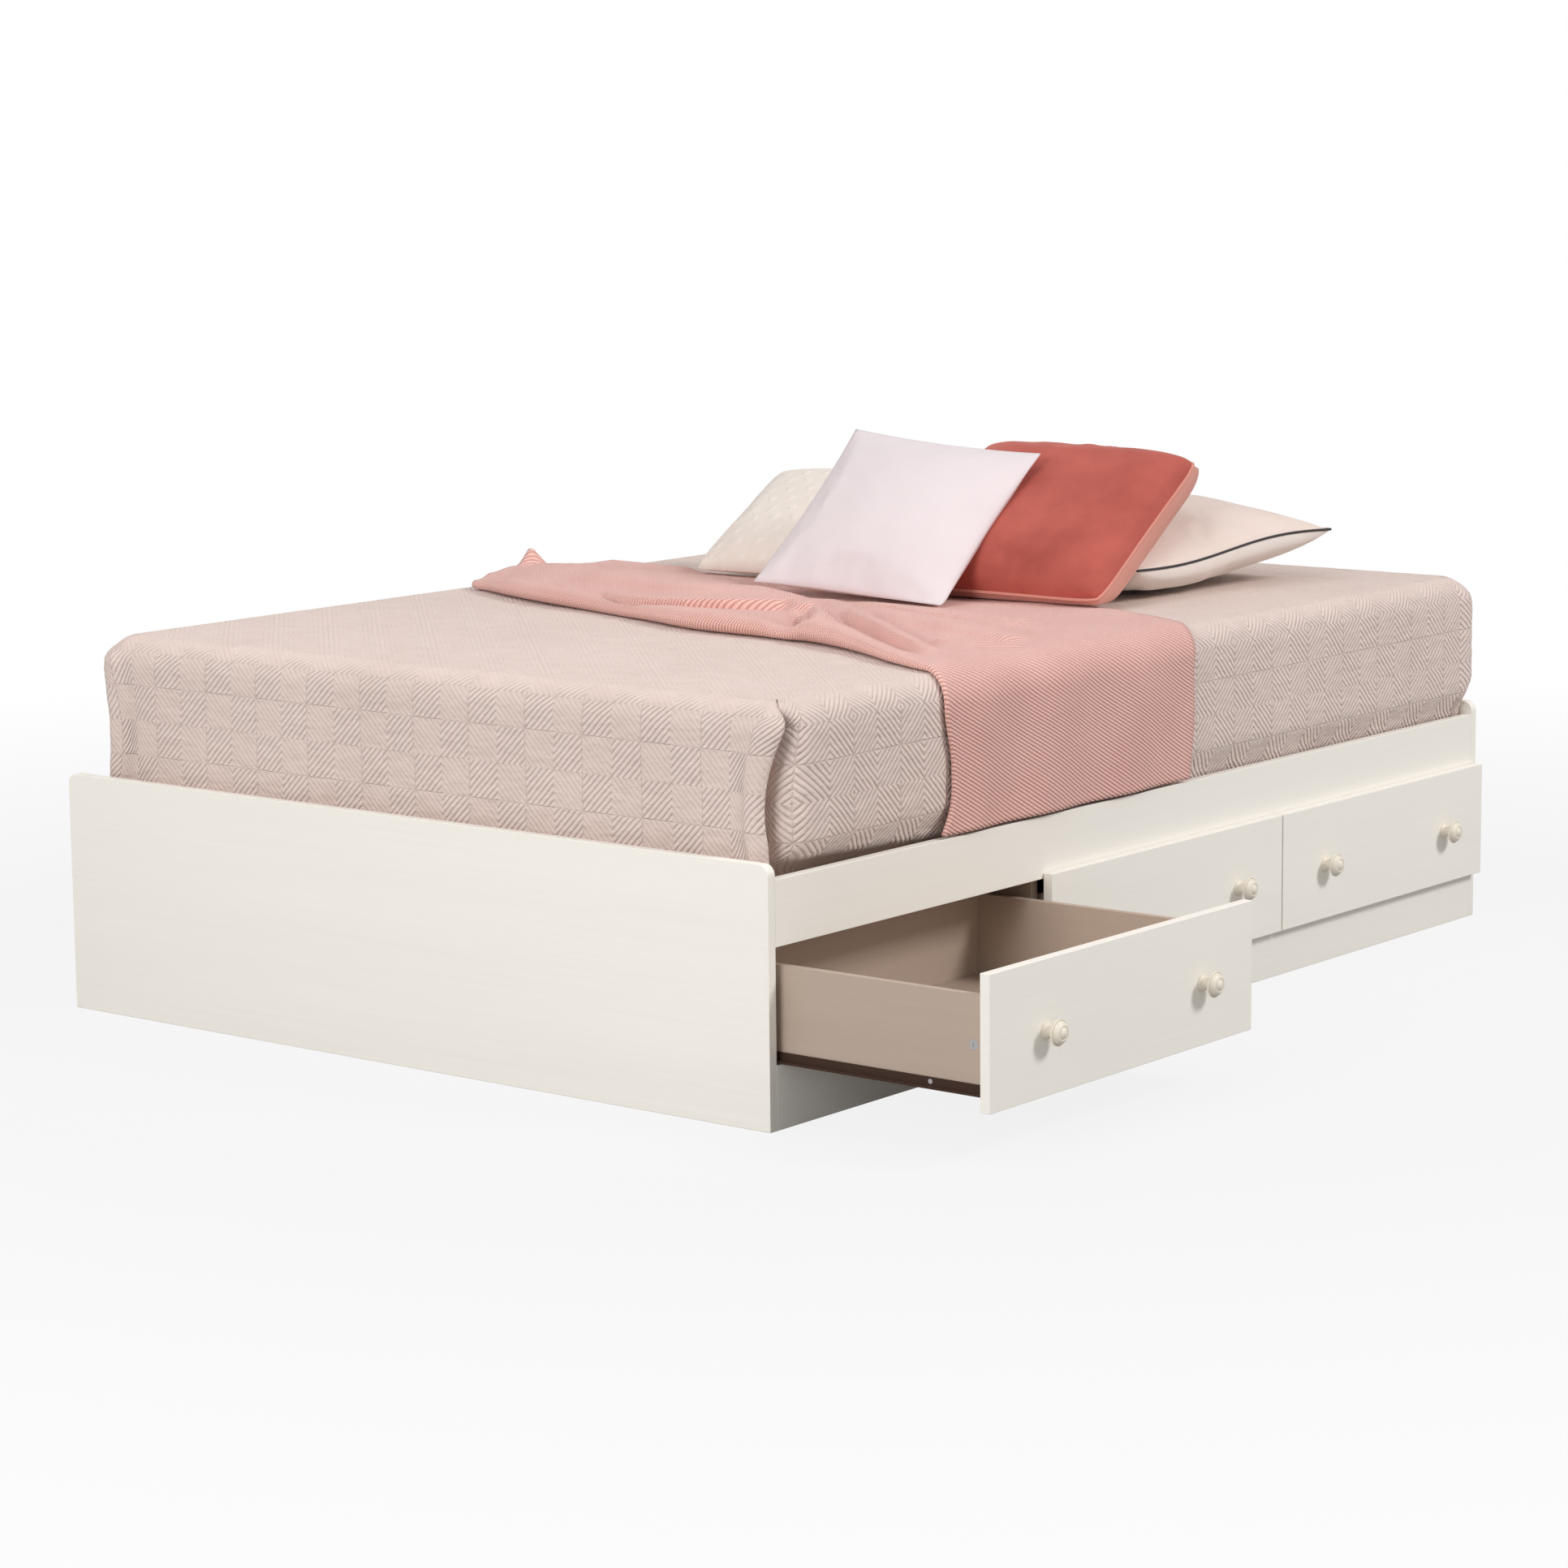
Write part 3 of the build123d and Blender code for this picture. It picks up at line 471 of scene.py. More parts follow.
print("cloth tools ready")

# %% [markdown]
# Mattress
#
# The mattress is hidden under the quilt, but it carries everything. It could have tufts and taped
# seams, but none of them would show, so it is a plain padded block in striped ticking: a cube whose
# edges are rounded with a wide bevel. It is a little smaller than the space it has, so that it stays
# inside the folds of the quilt's corners.

# %% Mattress
edge_round = 0.035
mattress_room = Vector((0.070, 0.090, 0.008))
mattress_shift = Vector((-0.010, -0.004, 0.0))
mattress_low, mattress_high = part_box("mattress")
mattress_middle = (mattress_low + mattress_high) / 2 + mattress_shift

bpy.ops.object.select_all(action="DESELECT")
bpy.ops.mesh.primitive_cube_add(size=1.0, location=mattress_middle)
mattress = bpy.context.object
mattress.name = "padded_mattress"
mattress.scale = mattress_high - mattress_low - mattress_room
bpy.ops.object.transform_apply(location=True, rotation=True, scale=True)
bpy.ops.object.mode_set(mode="EDIT")
bpy.ops.mesh.select_all(action="SELECT")
bpy.ops.mesh.bevel(offset=edge_round, segments=4, affect="EDGES")
bpy.ops.mesh.subdivide(number_cuts=2)
bpy.ops.object.mode_set(mode="OBJECT")
bpy.ops.object.shade_smooth()
ticking, shader, start = new_finish("ticking")
place = object_place(start)
stripe = abs(one_axis(place, "X").wave(22.0)) ** 6.0
thread = noise(start, place, (700.0, 700.0, 700.0), 2.0, 0.6)
connect(shader, base_color=blend(stripe, (0.78, 0.75, 0.70), (0.60, 0.58, 0.55)))
connect(shader, roughness=0.75 + thread * 0.15, normal=bumped(thread, 0.0003))
mattress.data.materials.append(ticking)
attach(mattress, "bed_frame")
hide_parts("mattress")
print("mattress", [round(value, 3) for value in mattress.dimensions])

# %% [markdown]
# Quilt: its outline
#
# The quilt wraps the mattress like a box lid. It could be a rounded box with its bottom cut off, but
# then its corners could not be folded. Its plan is a rounded rectangle, so a point on its rim is found
# from one number, the distance walked round the rim from the foot's left corner. The same walk gives
# the outward direction, along which the side hangs and swells.

# %% Quilt outline
corner_round = 0.060
top_round = 0.045
hem_round = 0.020
fold_stand = 0.005
quilt_low, quilt_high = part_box("quilt")
left, right = quilt_low.x + fold_stand, quilt_high.x - fold_stand
foot, head = quilt_low.y, quilt_high.y
hem, crown = quilt_low.z, quilt_high.z
run_across = right - left - 2 * corner_round
run_along = head - foot - 2 * corner_round
quarter = corner_round * math.pi / 2
legs = np.array([run_across, quarter, run_along, quarter] * 2)
leg_starts = np.concatenate([[0.0], np.cumsum(legs)])
corner_centres = np.array([
    (right - corner_round, foot + corner_round), (right - corner_round, head - corner_round),
    (left + corner_round, head - corner_round), (left + corner_round, foot + corner_round),
])


def quilt_rim(distance):
    """Point and outward direction on the quilt's rim, at a distance walked round it."""
    distance = np.mod(distance, leg_starts[-1])
    leg = np.clip(np.searchsorted(leg_starts, distance, side="right") - 1, 0, len(legs) - 1)
    along = distance - leg_starts[leg]
    bend = np.where(leg % 2 == 1, along / corner_round, 0.0)
    turn = bend + (leg // 2 - 1) * math.pi / 2
    out = np.stack([np.cos(turn), np.sin(turn)], axis=-1)
    ahead = np.stack([-out[..., 1], out[..., 0]], axis=-1)
    left_to_walk = np.where(leg % 2 == 0, legs[leg] - along, 0.0)[..., None]
    return corner_centres[leg // 2] + out * corner_round - ahead * left_to_walk, out


print("quilt rim", round(float(leg_starts[-1]), 3), "m")

# %% [markdown]
# Quilt: the top
#
# The top is almost flat, with wadding that stands up a little between the seams. It could be one large
# face with painted relief, but then its outline would be dead straight, so it is a grid. The cells are
# about 8 mm wide and finer at the rim, where the last few rows are bent round the corners by a map from
# a square to a quarter disc, so that the rim has enough points to turn.

# %% Quilt top in plan
cell = 0.0080
fine_cells = 6
rim_round = corner_round - top_round


def ruled_lines(low, high):
    """Grid lines from low to high, finer over the first and last stretch."""
    fine = np.arange(fine_cells) * rim_round / fine_cells
    count = int(round((high - low - 2 * rim_round) / cell))
    middle = np.linspace(low + rim_round, high - rim_round, count + 1)
    return np.concatenate([low + fine, middle, high - fine[::-1]])


lines_x = ruled_lines(left + top_round, right - top_round)
lines_y = ruled_lines(foot + top_round, head - top_round)
flat_x, flat_y = np.meshgrid(lines_x, lines_y)
centre = np.array([(lines_x[0] + lines_x[-1]) / 2, (lines_y[0] + lines_y[-1]) / 2])
straight = np.array([lines_x[-1], lines_y[-1]]) - centre - rim_round
offset_x, offset_y = flat_x - centre[0], flat_y - centre[1]
over_x = np.maximum(np.abs(offset_x) - straight[0], 0.0) / rim_round
over_y = np.maximum(np.abs(offset_y) - straight[1], 0.0) / rim_round
bent_x = np.minimum(np.abs(offset_x), straight[0]) + rim_round * over_x * np.sqrt(1 - over_y**2 / 2)
bent_y = np.minimum(np.abs(offset_y), straight[1]) + rim_round * over_y * np.sqrt(1 - over_x**2 / 2)
top_x = centre[0] + np.sign(offset_x) * bent_x
top_y = centre[1] + np.sign(offset_y) * bent_y
print("quilt top", top_x.shape, "points")

# %% Quilt top
stitch_cell = 0.055
puff_height = 0.0008
top_slack, top_slack_length = 0.0014, 0.42


def puff(first, second):
    """How far the stitched squares stand proud of their seams, from 0 to 1."""
    return np.abs(np.sin(math.pi * first / stitch_cell) * np.sin(math.pi * second / stitch_cell)) ** 0.5


top_z = crown - puff_height - top_slack + puff_height * puff(top_x, top_y)
top_z = top_z + top_slack * ripple(top_x, top_y, top_slack_length)
top_points = np.stack([top_x, top_y, top_z], axis=-1).reshape(-1, 3)
rows, columns = top_x.shape
index = np.arange(rows * columns).reshape(rows, columns)
top_faces = np.stack([index[:-1, :-1], index[:-1, 1:], index[1:, 1:], index[1:, :-1]], axis=-1)
top_faces = top_faces.reshape(-1, 4)
top_flat = np.stack([top_x.ravel(), top_y.ravel()], axis=-1)[top_faces].reshape(-1, 2)
print("quilt top", len(top_faces), "faces")

# %% [markdown]
# Quilt: the sides and the corner folds
#
# The sides hang from the rim of the top, one column of points below every rim point. At both foot
# corners the foot end is folded over the side as on a made bed. The fold could be a flap of its own,
# but a join would show above it. Instead the walk round the rim goes through a pleat: out to the fold's
# edge, back under itself, and on along the side.

# %% Walk round the rim
FOOT, NEAR, HEAD, FAR = range(4)
ahead_of = np.array([(1, 0), (0, 1), (-1, 0), (0, -1)])
out_of = np.array([(0, -1), (1, 0), (0, 1), (-1, 0)])


def walked(point, side):
    """How far round the rim a point on one side of the top's edge is."""
    ahead, out = ahead_of[side], out_of[side]
    from_start = point - corner_centres[side - 1]
    from_end = point - corner_centres[side]
    along = from_start @ ahead
    if along < 0:
        return leg_starts[2 * side] - corner_round * math.atan2(-along, from_start @ out)
    if along > legs[2 * side]:
        return leg_starts[2 * side + 1] + corner_round * math.atan2(from_end @ ahead, from_end @ out)
    return leg_starts[2 * side] + along


edge = np.stack([top_x, top_y], axis=-1)
walk = [(walked(point, FOOT), FOOT) for point in edge[0, :]]
near_fold = len(walk) - 1
walk += [(walked(point, NEAR), NEAR) for point in edge[1:, -1]]
walk += [(walked(point, HEAD), HEAD) for point in edge[-1, -2::-1]]
walk += [(walked(point, FAR), FAR) for point in edge[-2:0:-1, 0]]
near_fold_walk = walk[near_fold][0]
far_fold_walk = walk[0][0]
print("rim walked in", len(walk), "steps")

# %% Quilt side columns
pleat_in_mm = [
    (0, 11), (10, 13), (17, 13), (21, 10), (20, 6), (14, 3), (-4, -1), (-14, -8), (-12, -20), (0, -28),
]
pleat = [(shift / 1000, lift / 1000) for shift, lift in pleat_in_mm]
pleat_lengths = np.concatenate([[0.0], np.cumsum(np.linalg.norm(np.diff(pleat, axis=0), axis=1))])
flap_part = 5
under_reach = 0.060

side_columns = []
for number, (distance, side) in enumerate(walk):
    if number == near_fold:
        for (shift, lift), length in zip(pleat, pleat_lengths):
            side = FOOT if length <= pleat_lengths[flap_part] else NEAR
            side_columns.append((distance, shift, lift, side, length, length - pleat_lengths[-1]))
        continue
    lift = 0.0
    if side == FOOT:
        past_near = (distance - leg_starts[1]) / (near_fold_walk - leg_starts[1])
        past_far = distance / far_fold_walk
        lift = pleat[0][1] * float(ease(max(past_near, past_far)))
    elif side == NEAR:
        lift = pleat[-1][1] * float(1 - ease((distance - near_fold_walk) / under_reach))
    elif side == FAR:
        lift = pleat[-1][1] * float(1 - ease((leg_starts[-1] + far_fold_walk - distance) / under_reach))
    side_columns.append((distance, 0.0, lift, side, 0.0, 0.0))
for (shift, lift), length in zip(pleat[::-1], pleat_lengths[::-1]):
    side = FOOT if length <= pleat_lengths[flap_part] else FAR
    side_columns.append((far_fold_walk, -shift, lift, side, -length, pleat_lengths[-1] - length))
column_walk, column_shift, column_lift, column_side, foot_extra, side_extra = np.array(side_columns).T
column_side = column_side.astype(int)
from_far_end = column_walk > leg_starts[-1] / 2
foot_walk = np.where(from_far_end, column_walk - leg_starts[-1], column_walk) + foot_extra
side_walk = np.where(column_walk < 0, column_walk + leg_starts[-1], column_walk) + side_extra
column_along = {
    FOOT: left + corner_round + foot_walk,
    NEAR: foot + corner_round + side_walk - leg_starts[2],
    HEAD: right - corner_round - column_walk + leg_starts[4],
    FAR: head - corner_round - side_walk + leg_starts[6],
}
print("quilt sides", len(side_columns), "columns")

# %% Quilt side rows
round_rows = 8
side_step = 0.0080
hem_rows = np.array([0.014, 0.008, 0.0])
hem_curl = 0.9

angles = np.linspace(0.0, math.pi / 2, round_rows + 1)
straight_z = np.arange(crown - top_round - side_step, hem + hem_round, -side_step)
low_z = hem + hem_rows
row_z = np.concatenate([crown - top_round * (1 - np.cos(angles)), straight_z, low_z])
low_inset = hem_round * (1 - np.sqrt(1 - (hem_curl * (1 - (low_z - hem) / hem_round)) ** 2))
row_inset = np.concatenate([top_round * (1 - np.sin(angles)), 0 * straight_z, low_inset])
row_tilt = np.concatenate([angles, np.full(len(straight_z) + len(low_z), math.pi / 2)])
row_drop = np.concatenate([[0.0], np.cumsum(np.hypot(np.diff(row_z), np.diff(row_inset)))])
z = np.repeat(row_z[:, None], len(side_columns), axis=1)
drop = np.repeat(row_drop[:, None], len(side_columns), axis=1)
print("quilt sides", len(row_z), "rows")

# %% Quilt corner folds
fold_top = 0.005
fold_rise = 0.034
fold_bow = 0.043
bow_share = 0.85
fold_reach = 0.055

folded = ease((crown - fold_top - z) / fold_rise)
down = np.clip((crown - z) / (crown - hem), 0.0, 1.0)
bow = -fold_bow * np.sin(math.pi * bow_share * down) * folded
near_pull = np.exp(-(((column_walk - near_fold_walk) / fold_reach) ** 2))
past_far_fold = column_walk - far_fold_walk
far_gap = np.minimum(np.abs(past_far_fold), np.abs(past_far_fold - leg_starts[-1]))
far_pull = np.exp(-((far_gap / fold_reach) ** 2))
distance = column_walk + folded * column_shift + bow * (near_pull - far_pull)
point, out = quilt_rim(distance)
print("corner folds bowed by up to", round(float(-bow.min()), 3), "m")

# %% Quilt sides in the flat cloth
along_flat = np.choose(column_side, [column_along[side] for side in (FOOT, NEAR, HEAD, FAR)])
edge_flat = np.array([foot + top_round, right - top_round, head - top_round, left + top_round])
down_sign = np.array([-1, 1, 1, -1])
flat_along = np.repeat(along_flat[None, :], len(row_z), axis=0)
flat_down = edge_flat[column_side] + down_sign[column_side] * drop
upright = (column_side == NEAR) | (column_side == FAR)
side_u = np.where(upright, flat_down, flat_along)
side_v = np.where(upright, flat_along, flat_down)
print("quilt sides in the flat", side_u.shape)

# %% Quilt side swell
slack_depth, slack_length = 0.0030, 0.33
tuck_depth, tuck_length, tuck_zone = 0.0035, 0.060, 0.085
crinkle_depth, crinkle_length = 0.0011, 0.022
dart_depth, dart_count, dart_length, dart_drop = 0.0032, 11.0, 0.050, 0.020
drawn_depth, drawn_length, drawn_reach, drawn_slant = 0.0022, 0.038, 0.045, 0.7
puff_start, slack_start, crinkle_start = 0.02, 0.06, 0.05
dart_start, drawn_start = 0.015, 0.08

swell = puff_height * (puff(side_u, side_v) - 1.0) * ease(drop / puff_start)
slack = ripple(flat_along, z, slack_length, 0.6) - 1.0
swell = swell + slack_depth * slack * ease(drop / slack_start)
tucked = 1 - ease((z - hem) / tuck_zone)
swell = swell + tuck_depth * tucked * (ripple(flat_along, z * 0.25, tuck_length, 0.1) - 0.6)
crinkles = ripple(flat_along * 0.45, z, crinkle_length, 1.2) - 1.0
swell = swell + crinkle_depth * crinkles * ease(drop / crinkle_start)
beside_fold = np.where(column_side == NEAR, column_walk - near_fold_walk, 1.0)
below_dart = crown - dart_drop - z
dart_reach = np.hypot(beside_fold, below_dart)
dart_turn = np.arctan2(below_dart, np.maximum(beside_fold, 0.0001))
darts = np.sin(dart_count * dart_turn) * np.exp(-dart_reach / dart_length)
swell = swell + dart_depth * darts * ease(dart_reach / dart_start)
drawn = np.exp(-((beside_fold / drawn_reach) ** 2))
drawn = drawn * np.sin(2 * math.pi * (z - beside_fold * drawn_slant) / drawn_length)
swell = swell + drawn_depth * drawn * ease(drop / drawn_start)
print("quilt sides swell between", [round(float(end), 4) for end in (swell.min(), swell.max())], "m")

# %% Quilt sides in place
side_bulge, side_bulge_start = 0.016, 0.356
head_bulge, head_bulge_start = 0.035, 0.378
bulge_rise = 0.045
head_fill, fill_start = 0.013, 0.06
tuck_in_depth, tuck_in_rise = 0.040, 0.030
tuck_in_from_foot = [0.047, 0.400, 0.560]
tuck_in_height = [0.374, 0.357, 0.348]

lift = column_lift * folded + swell
head_corner = 2 * np.abs(out[..., 0]) * np.maximum(out[..., 1], 0.0)
filled = lift + head_fill * head_corner * ease(drop / fill_start)
outward = filled * np.sin(row_tilt)[:, None] - row_inset[:, None]
level = 1 - ease((z - side_bulge_start) / bulge_rise)
head_level = 1 - ease((z - head_bulge_start) / bulge_rise)
tuck_line = np.interp(point[..., 1], foot + np.array(tuck_in_from_foot), tuck_in_height)
tucked_in = np.where(column_side == NEAR, ease((tuck_line - z) / tuck_in_rise), 0.0)
side_x = point[..., 0] + out[..., 0] * outward
side_x = side_x - np.maximum(out[..., 0], 0.0) * (side_bulge * level + tuck_in_depth * tucked_in)
side_y = point[..., 1] + out[..., 1] * outward
side_y = side_y - np.maximum(out[..., 1], 0.0) * head_bulge * head_level
side_z = z + lift * np.cos(row_tilt)[:, None]
side_points = np.stack([side_x, side_y, side_z], axis=-1)
print("quilt sides", side_points.shape[0] * side_points.shape[1], "points")

# %% Quilt joined
weld_distance = 0.00002
side_rows, side_count = z.shape
first_side_point = len(top_points)
rim_index = np.concatenate([index[0, :], index[1:, -1], index[-1, -2::-1], index[-2:0:-1, 0]])
rim_of_column = []
for number in range(len(walk)):
    rim_of_column += [rim_index[number]] * (len(pleat) if number == near_fold else 1)
rim_of_column += [rim_index[0]] * len(pleat)
grid = first_side_point + np.arange(side_rows * side_count).reshape(side_rows, side_count)
side_points[0] = top_points[np.array(rim_of_column)]
after = np.roll(np.arange(side_count), -1)
side_faces = np.stack([grid[:-1], grid[1:], grid[1:, after], grid[:-1, after]], axis=-1).reshape(-1, 4)


def side_corner(side, column, row):
    """The flat place of a side's point, continued as if it belonged to the given side."""
    along = column_along[side][column]
    down_the_side = edge_flat[side] + down_sign[side] * row_drop[row]
    return (down_the_side, along) if side in (NEAR, FAR) else (along, down_the_side)


side_flat = []
for row in range(side_rows - 1):
    for column in range(side_count):
        side = column_side[column]
        beside = after[column]
        for corner, corner_row in ((column, row), (column, row + 1), (beside, row + 1), (beside, row)):
            side_flat.append(side_corner(side, corner, corner_row))

quilt = cloth_piece(
    "stitched_quilt",
    np.concatenate([top_points, side_points.reshape(-1, 3)]),
    np.concatenate([top_faces, side_faces]),
    np.concatenate([top_flat, np.array(side_flat)]),
)
bpy.ops.object.mode_set(mode="EDIT")
bpy.ops.mesh.select_all(action="SELECT")
bpy.ops.mesh.remove_doubles(threshold=weld_distance)
bpy.ops.object.mode_set(mode="OBJECT")
print("quilt", len(quilt.data.polygons), "faces")

# %% [markdown]
# Quilt: stitched cotton
#
# Rows of stitches run slantwise over small squares and change direction from square to square, so they
# close into nested diamonds. Pressed into the mesh they would take millions of faces, so they are
# relief in the finish. The pattern is worked out from the flat place: the square's number, odd or even,
# chooses the slant, and a sine across the slant raises the wadding between two rows. On the top the
# relief is pressed flat by use, and on the foot end the squares of one slant are fainter than the
# others. The colour follows the relief and the crinkles too, darker in the stitched grooves and in the
# crinkles' hollows: painted shade.


# %% Quilt finish
def stitched_cotton():
    material, shader, start = new_finish("stitched_cotton", sheen_weight=0.10, sheen_roughness=0.5)
    rows_in_a_cell = 5.0
    threads_in_a_metre = 650.0
    top_margin, top_fade, top_relief = 0.004, 0.020, 0.35
    foot_fade, foot_faintness = 0.02, 0.6
    first, second = flat_place(start)
    column, row = first / stitch_cell, second / stitch_cell
    slant = ((column.floor() + row.floor()) % 2.0) * 2.0 - 1.0
    rows_of_stitches = abs(((first + second * slant) * (rows_in_a_cell / stitch_cell)).wave(0.5)) ** 0.6
    seam = abs(column.wave(0.25)).math("MINIMUM", abs(row.wave(0.25)))
    place = object_place(start)
    height_above = one_axis(place, "Z")
    below_top = ((crown - top_margin - height_above) / top_fade).clamp()
    loose = below_top * (1.0 - top_relief) + top_relief
    on_foot = ((foot + top_round - second) / foot_fade).clamp()
    faint = 1.0 - (slant * 0.5 + 0.5) * on_foot * foot_faintness
    relief = rows_of_stitches * ((seam * 30.0).clamp() * 0.5 + 0.5) * faint
    crinkle_height_and_shade = noise(start, place, (32.0, 32.0, 105.0), 4.0, 0.6)
    thread = (first.wave(threads_in_a_metre) * second.wave(threads_in_a_metre)) * 0.5 + 0.5
    height = relief * loose * 0.7 + crinkle_height_and_shade * loose * 0.9 + thread * 0.04
    mottle = noise(start, place, (5.0, 5.0, 5.0), 3.0, 0.5)
    # The tone follows the stitch relief and the crinkles, darker in the grooves and hollows: painted shade.
    # The mottle is the cloth's own uneven tone.
    tone = (relief * loose * 0.30 + mottle * 0.30 + thread * 0.10 + crinkle_height_and_shade * 0.40).clamp()
    connect(shader, base_color=blend(tone, (0.565, 0.438, 0.384), (0.845, 0.702, 0.642)))
    connect(shader, roughness=0.78 + thread * 0.12, normal=bumped(height, 0.0033))
    return material


quilt.data.materials.append(stitched_cotton())
quilt_flat = (2 * (crown - hem) + right - left, 2 * (crown - hem) + head - foot)
corner_cut = 4 * (crown - hem) ** 2
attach(quilt, "bed_frame")
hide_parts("quilt")
quilt_flat[0] * quilt_flat[1] - corner_cut
print("quilt cut", [round(value, 2) for value in quilt_flat], "m")

# %% [markdown]
# Throw: its path over the bed
#
# The throw lies across the bed and hangs down over the drawers, and it is bunched into rolled folds at
# the foot side. A strip with a curve modifier could follow the bed, but it would have one section all
# along. Here the length follows one path, flat over the top, round the mattress edge, then down, and
# every station on it has a section of its own: a line of points that rises, dips and curls under at its
# edge.

# %% Throw path
throw_step = 0.0065
throw_thickness = 0.0050
throw_rest = 0.0031
throw_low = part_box("throw")[0]
throw_far = throw_low.x
turn_centre = (right - top_round, crown - top_round)
turn_radius = top_round + throw_rest
top_run = turn_centre[0] - throw_far
turn_run = turn_radius * math.pi / 2
throw_length = top_run + turn_run + turn_centre[1] - throw_low.z
stations = np.linspace(0.0, throw_length, int(throw_length / throw_step) + 1)


def throw_path(walked_out):
    """Place across the bed, height and outward tilt of the throw's underside along its length."""
    turned = np.clip((walked_out - top_run) / turn_radius, 0.0, math.pi / 2)
    fallen = np.maximum(walked_out - top_run - turn_run, 0.0)
    x = throw_far + np.minimum(walked_out, top_run) + turn_radius * np.sin(turned)
    z = turn_centre[1] + turn_radius * np.cos(turned) - fallen
    return x, z, turned


foot_edge = [(0.0, -0.128), (0.25, -0.224), (0.55, -0.312), (0.70, -0.366), (0.93, -0.385), (1.10, -0.448),
             (1.20, -0.505), (1.29, -0.545), (1.36, -0.563), (1.46, -0.547), (1.52, -0.552), (1.56, -0.574)]
head_edge = [(0.0, 0.262), (0.30, 0.248), (0.65, 0.240), (1.10, 0.200), (1.28, 0.120), (1.37, 0.086),
             (1.46, 0.082), (1.56, 0.068)]
foot_y = through(foot_edge, stations)
head_y = through(head_edge, stations)
print("throw", round(throw_length, 3), "m long,", len(stations), "stations")

# %% [markdown]
# Throw: its folds
#
# Cloth that is pushed together lies in rolls that run into each other. They could be pulled up by hand
# with a sculpting brush, but a line can be moved again later. So their crests and creases are lines
# drawn on the bed in plan, each with its heights, and the cloth between them takes its height from the
# lines near it, the nearer the more. Some creases are then cut in a little deeper, and two crests are
# drawn forward so that they hang over. The foot edge itself is rolled under, so its front is a small
# spiral that scales with the height of the edge. Where a cushion stands, it presses the folds flat.

# %% Throw fold lines
edge_heights = [(0, 9), (60, 15), (120, 21), (330, 25), (430, 20), (480, 17), (650, 26), (840, 22),
                (900, 12), (945, 30), (1010, 29), (1100, 19), (1200, 13), (1290, 6), (1360, 3), (1560, 3)]
edge_roll = [(1.25, 0.0), (0.55, 0.0), (0.10, 0.16), (-0.08, 0.48), (0.12, 0.82), (0.50, 1.0)]
fold_lines = {
    "upper_crest": [(20, -60, 16), (90, -40, 34), (185, -70, 42), (320, -125, 45), (480, -160, 44),
                    (580, -180, 44), (655, -150, 40), (725, -165, 36), (805, -205, 32)],
    "upper_back": [(60, 60, 15), (180, 35, 15), (320, -20, 14), (480, -65, 13), (600, -75, 13),
                   (700, -80, 11), (800, -105, 11)],
    "upper_front": [(430, -240, 28), (520, -264, 32), (630, -262, 35), (690, -238, 36), (745, -208, 34)],
    "first_crease": [(440, -262, 9), (520, -284, 9), (630, -283, 11), (692, -260, 13), (732, -236, 15),
                     (775, -222, 16)],
    "knob_crease": [(808, -228, 18), (872, -300, 8), (908, -345, 3)],
    "knob_crest": [(850, -232, 32), (890, -285, 34), (940, -345, 32)],
    "second_crease": [(862, -205, 17), (975, -294, 11), (1100, -384, 7), (1180, -428, 5), (1225, -460, 4)],
    "middle_crest": [(890, -188, 26), (994, -264, 26), (1103, -346, 22), (1166, -383, 17),
                     (1210, -420, 10)],
    "third_crease": [(836, -125, 11), (930, -180, 9), (1040, -258, 7), (1150, -345, 6),
                     (1215, -395, 5)],
    "low_crest": [(868, -95, 17), (952, -140, 18), (1080, -178, 17), (1220, -238, 12)],
    "low_valley": [(1025, -228, 3), (1121, -266, 2), (1192, -271, 2), (1255, -263, 2)],
    "end_crest": [(1160, -330, 13), (1225, -320, 13), (1280, -298, 8)],
    "back_crest": [(506, 83, 14), (718, -18, 15), (930, -60, 14), (1117, -62, 12)],
    "back_valley": [(640, 20, 4), (840, -62, 4), (953, -98, 3), (1161, -125, 2)],
    "head_rim": [(0, 250, 8), (300, 235, 6), (650, 230, 3), (1100, 190, 2), (1280, 110, 1)],
    "flat_part": [(900, 40, 2), (1150, 20, 2), (1250, -60, 2)],
    "turn": [(1290, -430, 3), (1290, 90, 1)],
    "hang": [(1400, -530, 2), (1400, 60, 1)],
    "hem": [(1555, -550, 2), (1555, 50, 1)],
}
grooves = {"first_crease": 0.010, "knob_crease": 0.012, "second_crease": 0.010, "third_crease": 0.006}
groove_width = 0.012
overhangs = {"upper_front": 0.034, "middle_crest": 0.014}
overhang_width = 0.018
print("throw fold lines", len(fold_lines))

# %% Heights between the fold lines
line_step = 0.010
line_width = 0.007


def along_line(line):
    """Points at even steps along a line of (along, across, height) points."""
    line = np.array(line) / 1000
    pieces = []
    for start, end in zip(line, line[1:]):
        count = int(np.linalg.norm(end - start) / line_step) + 1
        pieces.append(start + (end - start) * np.arange(count)[:, None] / count)
    return np.concatenate([*pieces, line[-1:]])


def height_between(places, along, across):
    """A height at every point, from the heights of the places near it."""
    total, weights = np.zeros(along.shape), np.zeros(along.shape)
    for place_along, place_across, height in places:
        weight = 1 / ((along - place_along) ** 2 + (across - place_across) ** 2 + line_width**2) ** 2
        total = total + weight * height
        weights = weights + weight
    return total / weights


def near_line(name, width):
    """1 on a fold line, fading to 0 beside it and towards its two ends."""
    line = along_line(fold_lines[name])
    nearest = np.zeros(across.shape)
    for (place_along, place_across, _), share in zip(line, np.linspace(0.0, 1.0, len(line))):
        apart = (out_along - place_along) ** 2 + (across - place_across) ** 2
        nearest = np.maximum(nearest, math.sin(math.pi * share) ** 0.6 * np.exp(-apart / width**2))
    return nearest


